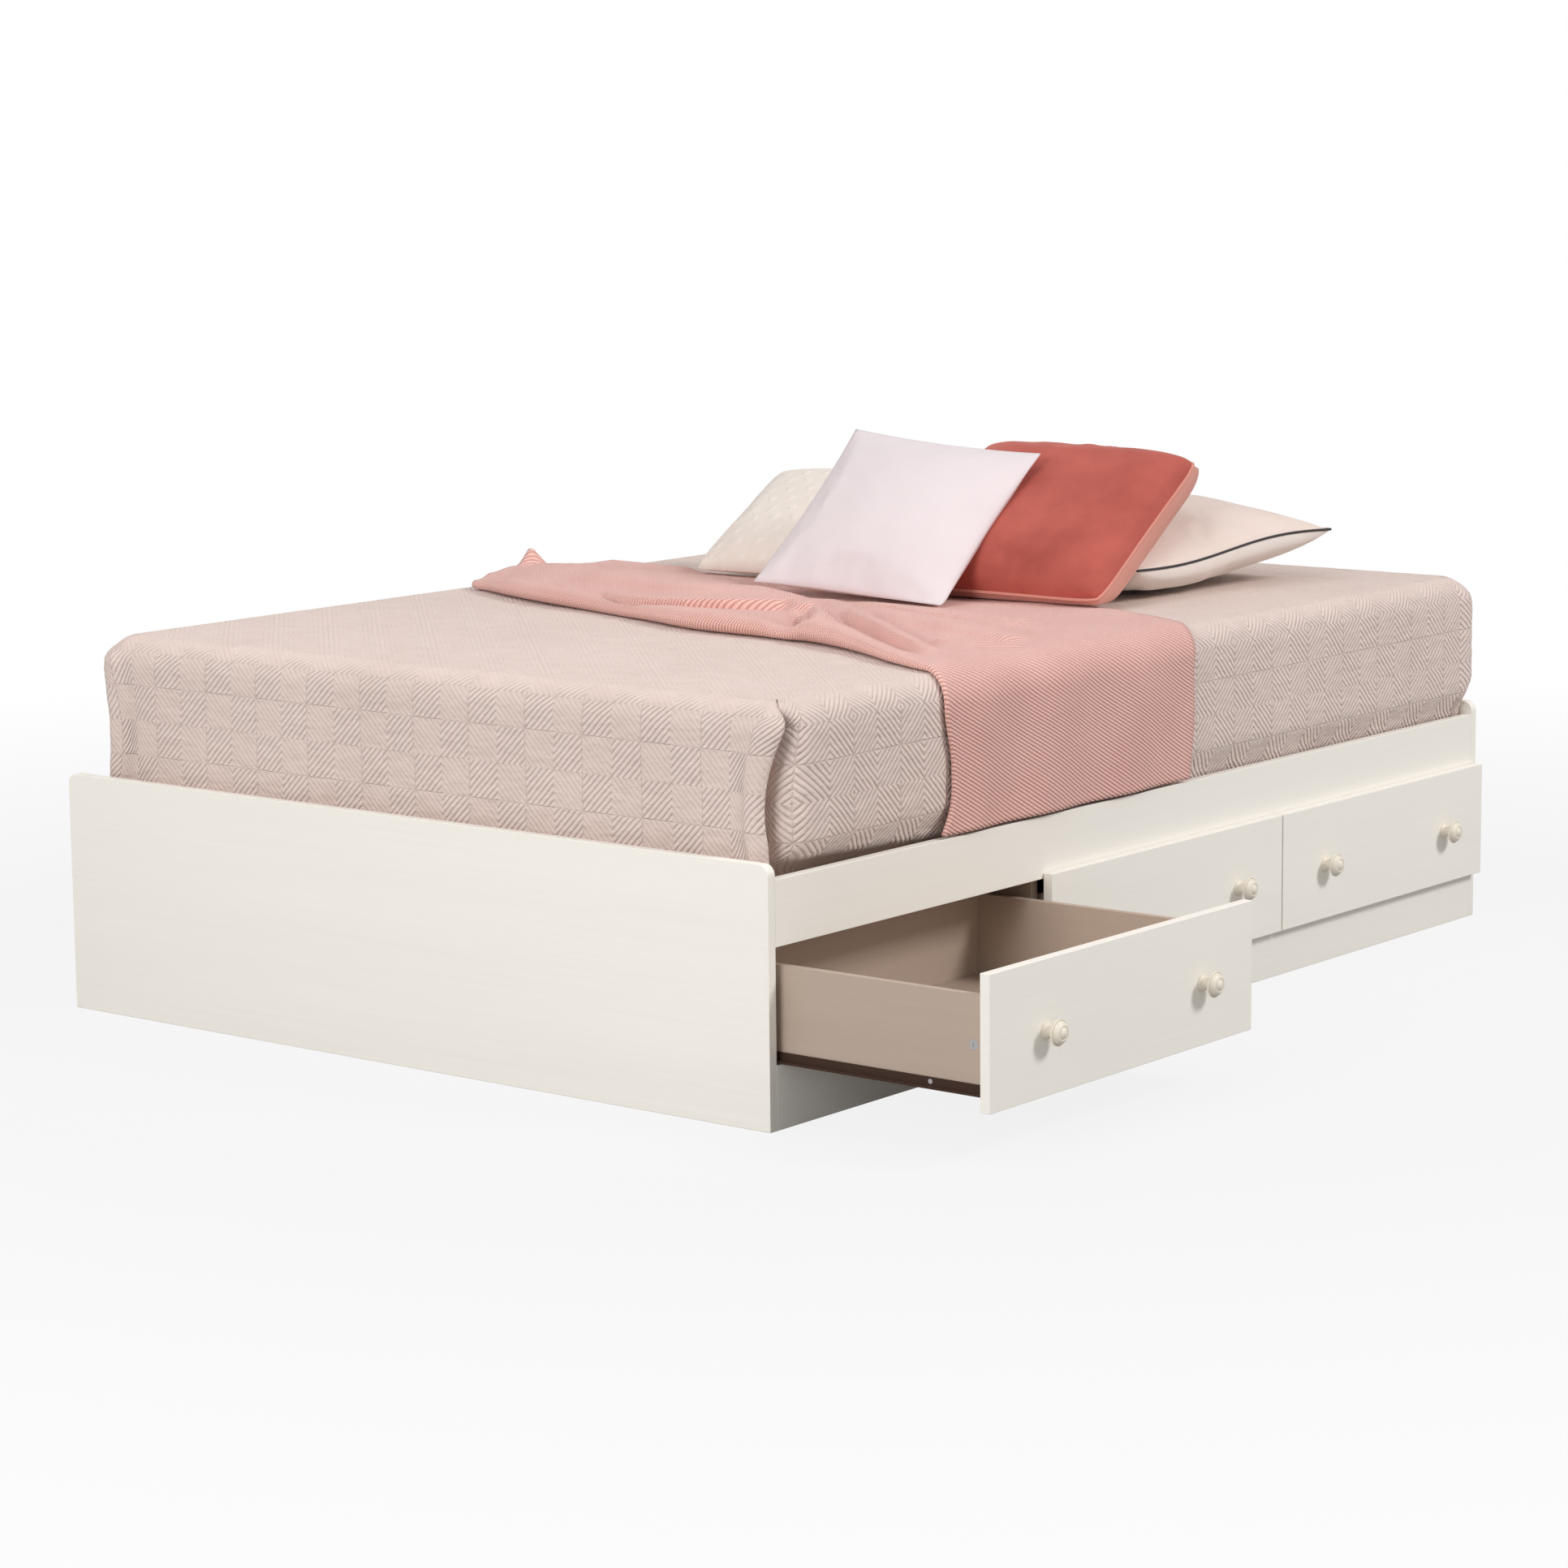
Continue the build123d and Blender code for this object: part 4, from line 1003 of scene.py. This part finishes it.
edge_height = through(np.array(edge_heights) / 1000, stations)
edge_crest = np.stack([stations, foot_y + edge_roll[-1][0] * edge_height, edge_height], axis=-1)[::2]
places = np.concatenate([edge_crest, *[along_line(line) for line in fold_lines.values()]])
print("heights known at", len(places), "places")

# %% Throw folds
roll_samples = 22
fold_samples = 76
flat_samples = 34
fold_depth = 0.330
press_margin = 0.045
least_height = 0.001

roll_share = np.linspace(0.0, 1.0, roll_samples)
roll_knots = np.linspace(0.0, 1.0, len(edge_roll))
roll_in, roll_up = [
    through(np.stack([roll_knots, values], axis=-1), roll_share) for values in zip(*edge_roll)]
roll_end = edge_roll[-1][0] * edge_height[:, None]
fold_in = roll_end + np.linspace(0.0, 1.0, fold_samples + 1)[1:] * (fold_depth - roll_end)
flat_share = np.linspace(0.0, 1.0, flat_samples + 1)[1:]
flat_in = fold_depth + flat_share * ((head_y - foot_y)[:, None] - fold_depth)
inward = np.concatenate([edge_height[:, None] * roll_in, fold_in, flat_in], axis=1)
across = foot_y[:, None] + inward
out_along = np.repeat(stations[:, None], across.shape[1], axis=1)
up = height_between(places, out_along, across)
for name, depth in grooves.items():
    up = np.maximum(up - depth * near_line(name, groove_width), least_height)
across = across - sum(reach * near_line(name, overhang_width) for name, reach in overhangs.items())
up[:, :roll_samples] = edge_height[:, None] * np.maximum(roll_up, 0.0)
for node in cushion_nodes:
    low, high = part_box(node)
    beside = np.maximum(low.x - throw_far - out_along, out_along - high.x + throw_far)
    before = np.maximum(low.y - across, across - high.y)
    up = up * ease(np.maximum(np.maximum(beside, before), 0.0) / press_margin)
print("throw folds up to", round(float(up.max()), 3), "m high")

# %% Throw waves and its raised corner
wave_height, wave_length = 0.003, 0.15
hang_wave, hang_waves_across, hang_waves_down = 0.0035, 4.6, 1.1
still_edge, hang_start = 0.09, 0.12
tip_height = 0.034
tip_reach = 0.034
tip_place = (0.003, 0.042)
corner_trim, trim_along, trim_inward = 0.022, 0.18, 0.14

from_edge = ease(inward / still_edge)
hang = ease((out_along - top_run) / hang_start)
slack = ripple(out_along * 0.6 - across * 0.5, across + out_along * 0.35, wave_length, 0.4)
up = up + wave_height * np.maximum(slack, 0.0) ** 1.5 * (1 - hang) * from_edge
hang_turns = across * hang_waves_across + out_along * hang_waves_down
up = up + hang_wave * hang * (1 + np.sin(2 * math.pi * hang_turns)) * from_edge
tip_distance = np.hypot(out_along - tip_place[0], across - tip_place[1])
up = up + tip_height * np.clip(1 - tip_distance / tip_reach, 0.0, 1.0) ** 1.3
in_corner = (1 - ease(out_along / trim_along)) * (1 - ease(inward / trim_inward))
out_along = out_along + corner_trim * in_corner
print("throw up to", round(float(up.max()), 3), "m high")

# %% Throw joined
shear_passes = 8
path_x, path_z, tilt = throw_path(out_along)
throw_points = np.stack([path_x + up * np.sin(tilt), across, path_z + up * np.cos(tilt)], axis=-1)
steps = np.linalg.norm(np.diff(throw_points, axis=1), axis=-1)
flat_v = np.concatenate([np.zeros((len(stations), 1)), np.cumsum(steps, axis=1)], axis=1)
flat_v = flat_v - flat_v[:, -1:]
for _ in range(shear_passes):
    flat_v[1:-1] = (flat_v[:-2] + 2 * flat_v[1:-1] + flat_v[2:]) / 4
count = across.shape[1]
grid = np.arange(len(stations) * count).reshape(len(stations), count)
throw_faces = np.stack([grid[:-1, :-1], grid[1:, :-1], grid[1:, 1:], grid[:-1, 1:]], axis=-1)
throw_faces = throw_faces.reshape(-1, 4)
throw_flat = np.stack([out_along.ravel(), flat_v.ravel()], axis=-1)[throw_faces].reshape(-1, 2)
throw = cloth_piece("knitted_throw", throw_points.reshape(-1, 3), throw_faces, throw_flat)
thicken = throw.modifiers.new("thickness", "SOLIDIFY")
thicken.thickness = throw_thickness
thicken.offset = 0.0
bpy.ops.object.modifier_apply(modifier=thicken.name)
print("throw", len(throw.data.polygons), "faces")

# %% [markdown]
# Throw: knitted ribs
#
# The knit is fine ribs that run slantwise over the throw, each a chain of small loops. There are far
# too many loops to model in yarn, so they are a pattern in the finish: a sine across the slant makes
# the ribs, and a second one along it, shifted from rib to rib, makes the loops. The colour is also
# painted darker in the valleys between ribs: painted shade, where shade falls between thick ribs.


# %% Throw finish
def knitted_ribs():
    material, shader, start = new_finish("knitted_ribs", sheen_weight=0.20, sheen_roughness=0.45)
    first, second = flat_place(start)
    rib_pitch, loop_pitch = 0.0052, 0.0046
    steep, shallow = 0.889, 0.458
    across_rib = (first * steep - second * shallow) / rib_pitch
    along_rib = (first * shallow + second * steep) / loop_pitch
    rib = abs(across_rib.wave(0.5))
    loop = (along_rib + across_rib.floor() * 0.5).wave() * 0.5 + 0.5
    knit = rib * (0.65 + loop * 0.35)
    place = object_place(start)
    fuzz = noise(start, place, (500.0, 500.0, 500.0), 2.0, 0.6)
    mottle = noise(start, place, (7.0, 7.0, 7.0), 3.0, 0.5)
    # The tone follows the ribs' height, so the valleys between ribs are darker: painted shade.
    tone = (knit * 0.95 + mottle * 0.30 + fuzz * 0.1 - 0.2).clamp()
    connect(shader, base_color=blend(tone, (0.540, 0.236, 0.200), (0.950, 0.600, 0.528)))
    connect(shader, roughness=0.8 + fuzz * 0.1, normal=bumped(knit + fuzz * 0.25, 0.0017))
    return material


throw.data.materials.append(knitted_ribs())
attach(throw, "bed_frame")
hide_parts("throw")

# %% [markdown]
# Cushions
#
# A cushion is two panels sewn together round the edge and stuffed. Its seam keeps its corners while the
# sides draw in, and its cover is flat cloth that cannot stretch, so it wrinkles as it is filled. A cube
# made smooth would look like a bar of soap, and a cloth simulation alone gives the wrinkles but seldom
# the form that is wanted. So both are used: two flat panels are blown up with pressure and no gravity,
# what the cloth adds to a smooth form is kept, and it is laid on the cushion's own form, which is leant
# as the CAD cushion is.

# %% Cushion panels
panel_gap = 0.004
cushion_cell = 0.0075
cut_allowance = 1.01


def panel_grid(size):
    """How many rows and columns of points a panel has."""
    return tuple(int(side * cut_allowance / cushion_cell) + 1 for side in (size[1], size[0]))


def sewn_panels(name, size):
    """Two flat panels, a little larger than the cushion, joined round their edge."""
    width, height = size[0] * cut_allowance, size[1] * cut_allowance
    rows, columns = panel_grid(size)
    bpy.ops.object.select_all(action="DESELECT")
    bpy.ops.mesh.primitive_grid_add(x_subdivisions=columns - 1, y_subdivisions=rows - 1, size=1.0)
    piece = bpy.context.object
    piece.name = name
    piece.scale = (width, height, 1.0)
    bpy.ops.object.transform_apply(location=True, rotation=True, scale=True)
    layer = piece.data.uv_layers.active
    layer.name = "flat"
    places = np.zeros(len(layer.data) * 2, dtype=np.float32)
    layer.data.foreach_get("uv", places)
    layer.data.foreach_set("uv", (places.reshape(-1, 2) * (width, height)).astype(np.float32).ravel())
    panels = piece.modifiers.new("panels", "SOLIDIFY")
    panels.thickness = panel_gap
    panels.offset = 0.0
    bpy.ops.object.modifier_apply(modifier=panels.name)
    return piece


def mesh_points(piece):
    points = np.zeros(len(piece.data.vertices) * 3, dtype=np.float32)
    piece.data.vertices.foreach_get("co", points)
    return points.reshape(-1, 3).astype(float)


def set_points(piece, points):
    piece.data.vertices.foreach_set("co", points.astype(np.float32).ravel())
    piece.data.update()


print("panels are cut", cut_allowance, "times as large as the cushion")

# %% Cushion panels blown up
swell_frames = 27
swell_pressure = 2.0


def blow_up(piece):
    """Swells the sewn panels with a cloth simulation."""
    cloth = piece.modifiers.new("cloth", "CLOTH")
    cloth.settings.quality = 6
    cloth.settings.mass = 0.3
    cloth.settings.tension_stiffness = 40.0
    cloth.settings.compression_stiffness = 40.0
    cloth.settings.shear_stiffness = 20.0
    cloth.settings.bending_stiffness = 3.0
    cloth.settings.use_pressure = True
    cloth.settings.uniform_pressure_force = swell_pressure
    cloth.settings.effector_weights.gravity = 0.0
    cloth.collision_settings.use_collision = False
    cloth.point_cache.frame_end = swell_frames
    for step in range(1, swell_frames + 1):
        bpy.context.scene.frame_set(step)
    activate(piece)
    bpy.ops.object.modifier_apply(modifier=cloth.name)
    bpy.context.scene.frame_set(1)


print("panels swell for", swell_frames, "frames")

# %% Cushion form
wrinkle_passes = 18
seam_half = 0.0012
seam_calm = 0.030
panel_slack, panel_slack_length = 0.0020, 0.16
pucker_depth, pucker_length, pucker_reach = 0.0060, 0.045, 0.080


def smoothed(values):
    """A grid of values averaged with its neighbours again and again, with its rim held."""
    for _ in range(wrinkle_passes):
        beside = values[:-2, 1:-1] + values[2:, 1:-1] + values[1:-1, :-2] + values[1:-1, 2:]
        values[1:-1, 1:-1] = values[1:-1, 1:-1] / 2 + beside / 8
    return values


def stuffed_form(piece, size, depth, squareness, fullness, drawn_in, side_swell,
                 corner_cut=0.0, seam_wave=0.0):
    """The cushion's own form about its middle, with the wrinkles of the blown-up panels on it."""
    rows, columns = panel_grid(size)
    u, v = np.meshgrid(np.linspace(-1.0, 1.0, columns), np.linspace(-1.0, 1.0, rows))
    in_corner = corner_cut * (u * v) ** 8
    x = size[0] / 2 * u * (1 - drawn_in * (1 - v**2) - in_corner)
    y = size[1] / 2 * v * (1 - drawn_in * (1 - u**2) - in_corner)
    from_seam = np.minimum((1 - np.abs(u)) * size[0], (1 - np.abs(v)) * size[1]) / 2
    slack = panel_slack * ripple(x, y, panel_slack_length, size[0] * 9)
    near_foot = np.exp(-(v + 1) * size[1] / pucker_reach)
    pucker = pucker_depth * ripple(x, y * 0.3, pucker_length, size[1] * 7) * near_foot
    panels = mesh_points(piece).reshape(2, rows, columns, 3)
    for panel in panels:
        face = 0 if panel[..., 2].mean() > 0 else 1
        outward = 1 - 2 * face
        wrinkles = panel[..., 2] - smoothed(panel[..., 2].copy())
        squared = (1 - np.abs(u) ** squareness[face]) * (1 - np.abs(v) ** squareness[face])
        full = squared ** fullness[face]
        swell = 4 * side_swell[face] * full * (1 - full)
        panel[..., 0] = x + swell * np.sign(u) * np.abs(u) ** 12
        panel[..., 1] = y + swell * np.sign(v) * np.abs(v) ** 12
        panel[..., 2] = outward * ((depth[face] - seam_half) * full + seam_half)
        panel[..., 2] += (wrinkles + slack + pucker) * ease(from_seam / seam_calm)
        panel[..., 2] += seam_wave * np.sin(math.pi * v) * u**2
    return panels.reshape(-1, 3)


print("wrinkles fade over", seam_calm, "m at the seam")

# %% Cushion in its place
cushion_clearance = 0.0004
press_depth = 0.016


def lean_on(piece, points, node, shift, lean, turn, roll, carrier):
    """Leans a cushion in the CAD cushion's place and presses it flat on what carries it."""
    box_low, box_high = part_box(node)
    pose = Matrix.Translation((box_low + box_high) / 2 + Vector(shift))
    for angle, axis in ((turn, "Z"), (lean, "X"), (roll, "Z")):
        pose = pose @ Matrix.Rotation(math.radians(angle), 4, axis)
    placed = points @ np.array(pose.to_3x3()).T + np.array(pose.translation)
    rest = carrier + cushion_clearance
    pressed = np.maximum(rest + press_depth - placed[:, 2], 0.0)
    flattened = rest + press_depth * np.exp(-pressed / press_depth)
    placed[:, 2] = np.where(pressed > 0, flattened, placed[:, 2])
    set_points(piece, placed)
    activate(piece)
    bpy.ops.object.shade_smooth()


def make_cushion(name, node, slot, size, form, pose, finishes, fill):
    piece = sewn_panels(name, size)
    for finish in finishes:
        piece.data.materials.append(finish)
    heights = mesh_points(piece)[:, 2]
    for face in piece.data.polygons:
        face.material_index = int(heights[list(face.vertices)].max() < 0)
    blow_up(piece)
    lean_on(piece, stuffed_form(piece, size, **form), node, **pose)
    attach(piece, "bed_frame")
    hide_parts(node)
    print(name, [round(value, 3) for value in piece.dimensions])
    return piece


print("cushion tools ready")

# %% [markdown]
# Cushion fabrics
#
# Four fabrics: a smooth cotton sateen in pale lilac, a coral velvet with a paler cotton back, a cream
# weave with raised tufts, and a fine cotton on the pillow. One finish in four colours would do from
# afar, but each fabric meets the light in its own way. Velvet gets its depth from sheen and from
# patches of brushed pile; the weaves get theirs from crossing threads on the flat panel.
# The plain cottons' colour is also darker in the hollows of their crumples: painted shade.


# %% Cushion finishes
def plain_cotton(name, light, dark, thread_pitch, sheen):
    material, shader, start = new_finish(name, sheen_weight=sheen, sheen_roughness=0.4)
    first, second = flat_place(start)
    thread = ((first / thread_pitch).wave() * (second / thread_pitch).wave()) * 0.5 + 0.5
    place = object_place(start)
    crumple_height_and_shade = noise(start, place, (14.0, 14.0, 14.0), 4.0, 0.55)
    # The tone follows the crumples' height, lighter on their crests and darker in their hollows: painted
    # shade. The thread pattern is the weave's own.
    tone = (crumple_height_and_shade * 0.7 + thread * 0.3).clamp()
    connect(shader, base_color=blend(tone, dark, light), roughness=0.62 + thread * 0.18)
    connect(shader, normal=bumped(crumple_height_and_shade * 0.9 + thread * 0.06, 0.0022))
    return material


def brushed_velvet():
    material, shader, start = new_finish("brushed_velvet", sheen_weight=0.35, sheen_roughness=0.3)
    shader.inputs["Sheen Tint"].default_value = (0.95, 0.55, 0.48, 1.0)
    place = object_place(start)
    nap = noise(start, place, (9.0, 6.0, 11.0), 3.0, 0.6)
    pile = noise(start, place, (1400.0, 1400.0, 1400.0), 2.0, 0.7)
    tone = ((nap - 0.5) * 1.8 + 0.55 + (pile - 0.5) * 0.4).clamp()
    connect(shader, base_color=blend(tone, (0.330, 0.058, 0.042), (0.525, 0.112, 0.083)))
    connect(shader, roughness=0.82 + pile * 0.12, normal=bumped(pile * 0.3 + nap * 0.5, 0.0012))
    return material


def tufted_weave():
    material, shader, start = new_finish("tufted_weave", sheen_weight=0.25, sheen_roughness=0.5)
    first, second = flat_place(start)
    thread_pitch, tuft_pitch, dash_pitch = 0.0022, 0.030, 0.046
    thread = ((first / thread_pitch).wave() * (second / thread_pitch).wave()) * 0.5 + 0.5
    tuft_row = second / tuft_pitch
    dash = ((first / dash_pitch + tuft_row.floor() * 0.5).wave() * 0.5 + 0.5) ** 3.0
    ridge = abs(tuft_row.wave(0.5)) ** 3.0
    rough = noise(start, object_place(start), (160.0, 160.0, 160.0), 3.0, 0.6)
    tuft = dash * ridge * (0.4 + rough * 0.9)
    height = tuft + thread * 0.12 + rough * 0.3
    tone = (tuft * 0.6 + rough * 0.5 + thread * 0.1).clamp()
    connect(shader, base_color=blend(tone, (0.780, 0.690, 0.610), (0.890, 0.810, 0.740)))
    connect(shader, roughness=0.8 + rough * 0.1, normal=bumped(height, 0.0026))
    return material


lilac_cotton = plain_cotton("lilac_cotton", (0.795, 0.710, 0.722), (0.740, 0.652, 0.664), 0.0009, 0.15)
pillow_cotton = plain_cotton("pillow_cotton", (0.800, 0.665, 0.600), (0.755, 0.610, 0.543), 0.0011, 0.15)
# The pillow's back panel is paler than its front: partly a paler cloth, partly painted light that brightens
# the underside where shade falls.
pillow_back_paler_and_lit = plain_cotton("pillow_back_paler_and_lit", (0.930, 0.870, 0.820), (0.890, 0.820, 0.765), 0.0011, 0.15)
salmon_cotton = plain_cotton("salmon_cotton", (0.720, 0.340, 0.275), (0.600, 0.245, 0.190), 0.0011, 0.25)
velvet = brushed_velvet()
weave = tufted_weave()
print("cushion fabrics made")

# %% [markdown]
# The cushions on the bed
#
# The pillow lies at the head, and the three cushions lean in front of it. They could be copies of one
# shape, but each is cut and filled differently, so each has its own size, form and pose in one table:
# the depth and squareness of its front and back, how far its sides draw in, and how it is leant, turned
# and rolled.

# %% Cushions in place
throw_top = crown + throw_rest + throw_thickness / 2
cushions = {
    "piped_bed_pillow": dict(
        node="piped_pillow", slot="pillow_cotton", size=(0.539, 0.502), fill=0.6,
        finishes=[pillow_cotton, pillow_back_paler_and_lit],
        form=dict(depth=(0.075, 0.066), squareness=(2.6, 4.0), fullness=(0.8, 0.55), drawn_in=0.035,
                  side_swell=(0.0, 0.006), seam_wave=0.007),
        pose=dict(shift=(-0.018, 0.0, 0.0), lean=3.4, turn=-4.0, roll=-3.2, carrier=crown),
    ),
    "coral_velvet_cushion": dict(
        node="coral_cushion", slot="coral_velvet", size=(0.411, 0.383), fill=0.75,
        finishes=[velvet, salmon_cotton],
        form=dict(depth=(0.068, 0.054), squareness=(3.4, 6.0), fullness=(0.5, 0.5), drawn_in=0.015,
                  side_swell=(0.004, 0.022), corner_cut=0.04),
        pose=dict(shift=(0.004, 0.004, -0.004), lean=32.1, turn=5.7, roll=-1.8, carrier=throw_top),
    ),
    "cream_tufted_cushion": dict(
        node="cream_cushion", slot="cream_weave", size=(0.392, 0.305), fill=0.65,
        finishes=[weave, weave],
        form=dict(depth=(0.050, 0.046), squareness=(3.0, 3.0), fullness=(0.6, 0.6), drawn_in=0.045,
                  side_swell=(0.003, 0.003), corner_cut=0.04),
        pose=dict(shift=(-0.003, -0.009, 0.0), lean=30.2, turn=1.7, roll=0.4, carrier=throw_top),
    ),
    "lilac_cotton_cushion": dict(
        node="lilac_cushion", slot="lilac_cotton", size=(0.365, 0.372), fill=0.7,
        finishes=[lilac_cotton, lilac_cotton],
        form=dict(depth=(0.052, 0.054), squareness=(2.4, 3.0), fullness=(0.90, 0.7), drawn_in=0.046,
                  side_swell=(0.002, 0.004)),
        pose=dict(shift=(0.012, -0.006, -0.002), lean=39.2, turn=10.1, roll=-7.0, carrier=throw_top),
    ),
}
made = {name: make_cushion(name, **cushion) for name, cushion in cushions.items()}
print("cushions", len(made))

# %% [markdown]
# Piping
#
# The pillow's seam is finished with a thin dark cord, and the velvet cushion's with a paler one. A line
# in the finish would be flat, and a cord stands out from its seam. So each is a closed curve with a
# round section along the sewn edge, through the points halfway between the two panels' rims.


# %% Piping along the seams
def seam_line(piece, size):
    """The middle of the sewn edge, as points in order round the cushion."""
    rows, columns = panel_grid(size)
    points = mesh_points(piece)
    grid = np.arange(rows * columns).reshape(rows, columns)
    rim = np.concatenate([grid[0, :-1], grid[:-1, -1], grid[-1, :0:-1], grid[:0:-1, 0]])
    return (points[rim] + points[rim + rows * columns]) / 2


def piping(name, cushion, radius, finish):
    line = seam_line(made[cushion], cushions[cushion]["size"])
    curve = bpy.data.curves.new(name, "CURVE")
    curve.dimensions = "3D"
    curve.bevel_depth = radius
    curve.bevel_resolution = 2
    spline = curve.splines.new("POLY")
    spline.points.add(len(line) - 1)
    spline.points.foreach_set("co", np.concatenate([line, np.ones((len(line), 1))], axis=1).ravel())
    spline.use_cyclic_u = True
    cord = bpy.data.objects.new(name, curve)
    bpy.context.collection.objects.link(cord)
    activate(cord)
    bpy.ops.object.convert(target="MESH")
    cord = bpy.context.object
    cord.data.materials.clear()
    cord.data.materials.append(finish)
    bpy.ops.object.shade_smooth()
    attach(cord, "bed_frame")
    print(name, len(cord.data.polygons), "faces")


def piping_cotton(name, light, dark):
    material, shader, start = new_finish(name)
    twist = noise(start, object_place(start), (420.0, 420.0, 420.0), 3.0, 0.6)
    connect(shader, base_color=blend(twist, light, dark), roughness=0.7 + twist * 0.2)
    connect(shader, normal=bumped(twist, 0.0004))
    return material


dark_cord = piping_cotton("dark_piping", (0.020, 0.018, 0.020), (0.040, 0.036, 0.038))
salmon_cord = piping_cotton("salmon_piping", (0.700, 0.310, 0.250), (0.560, 0.220, 0.170))
piping("pillow_piping", "piped_bed_pillow", 0.0022, dark_cord)
piping("coral_piping", "coral_velvet_cushion", 0.0030, salmon_cord)
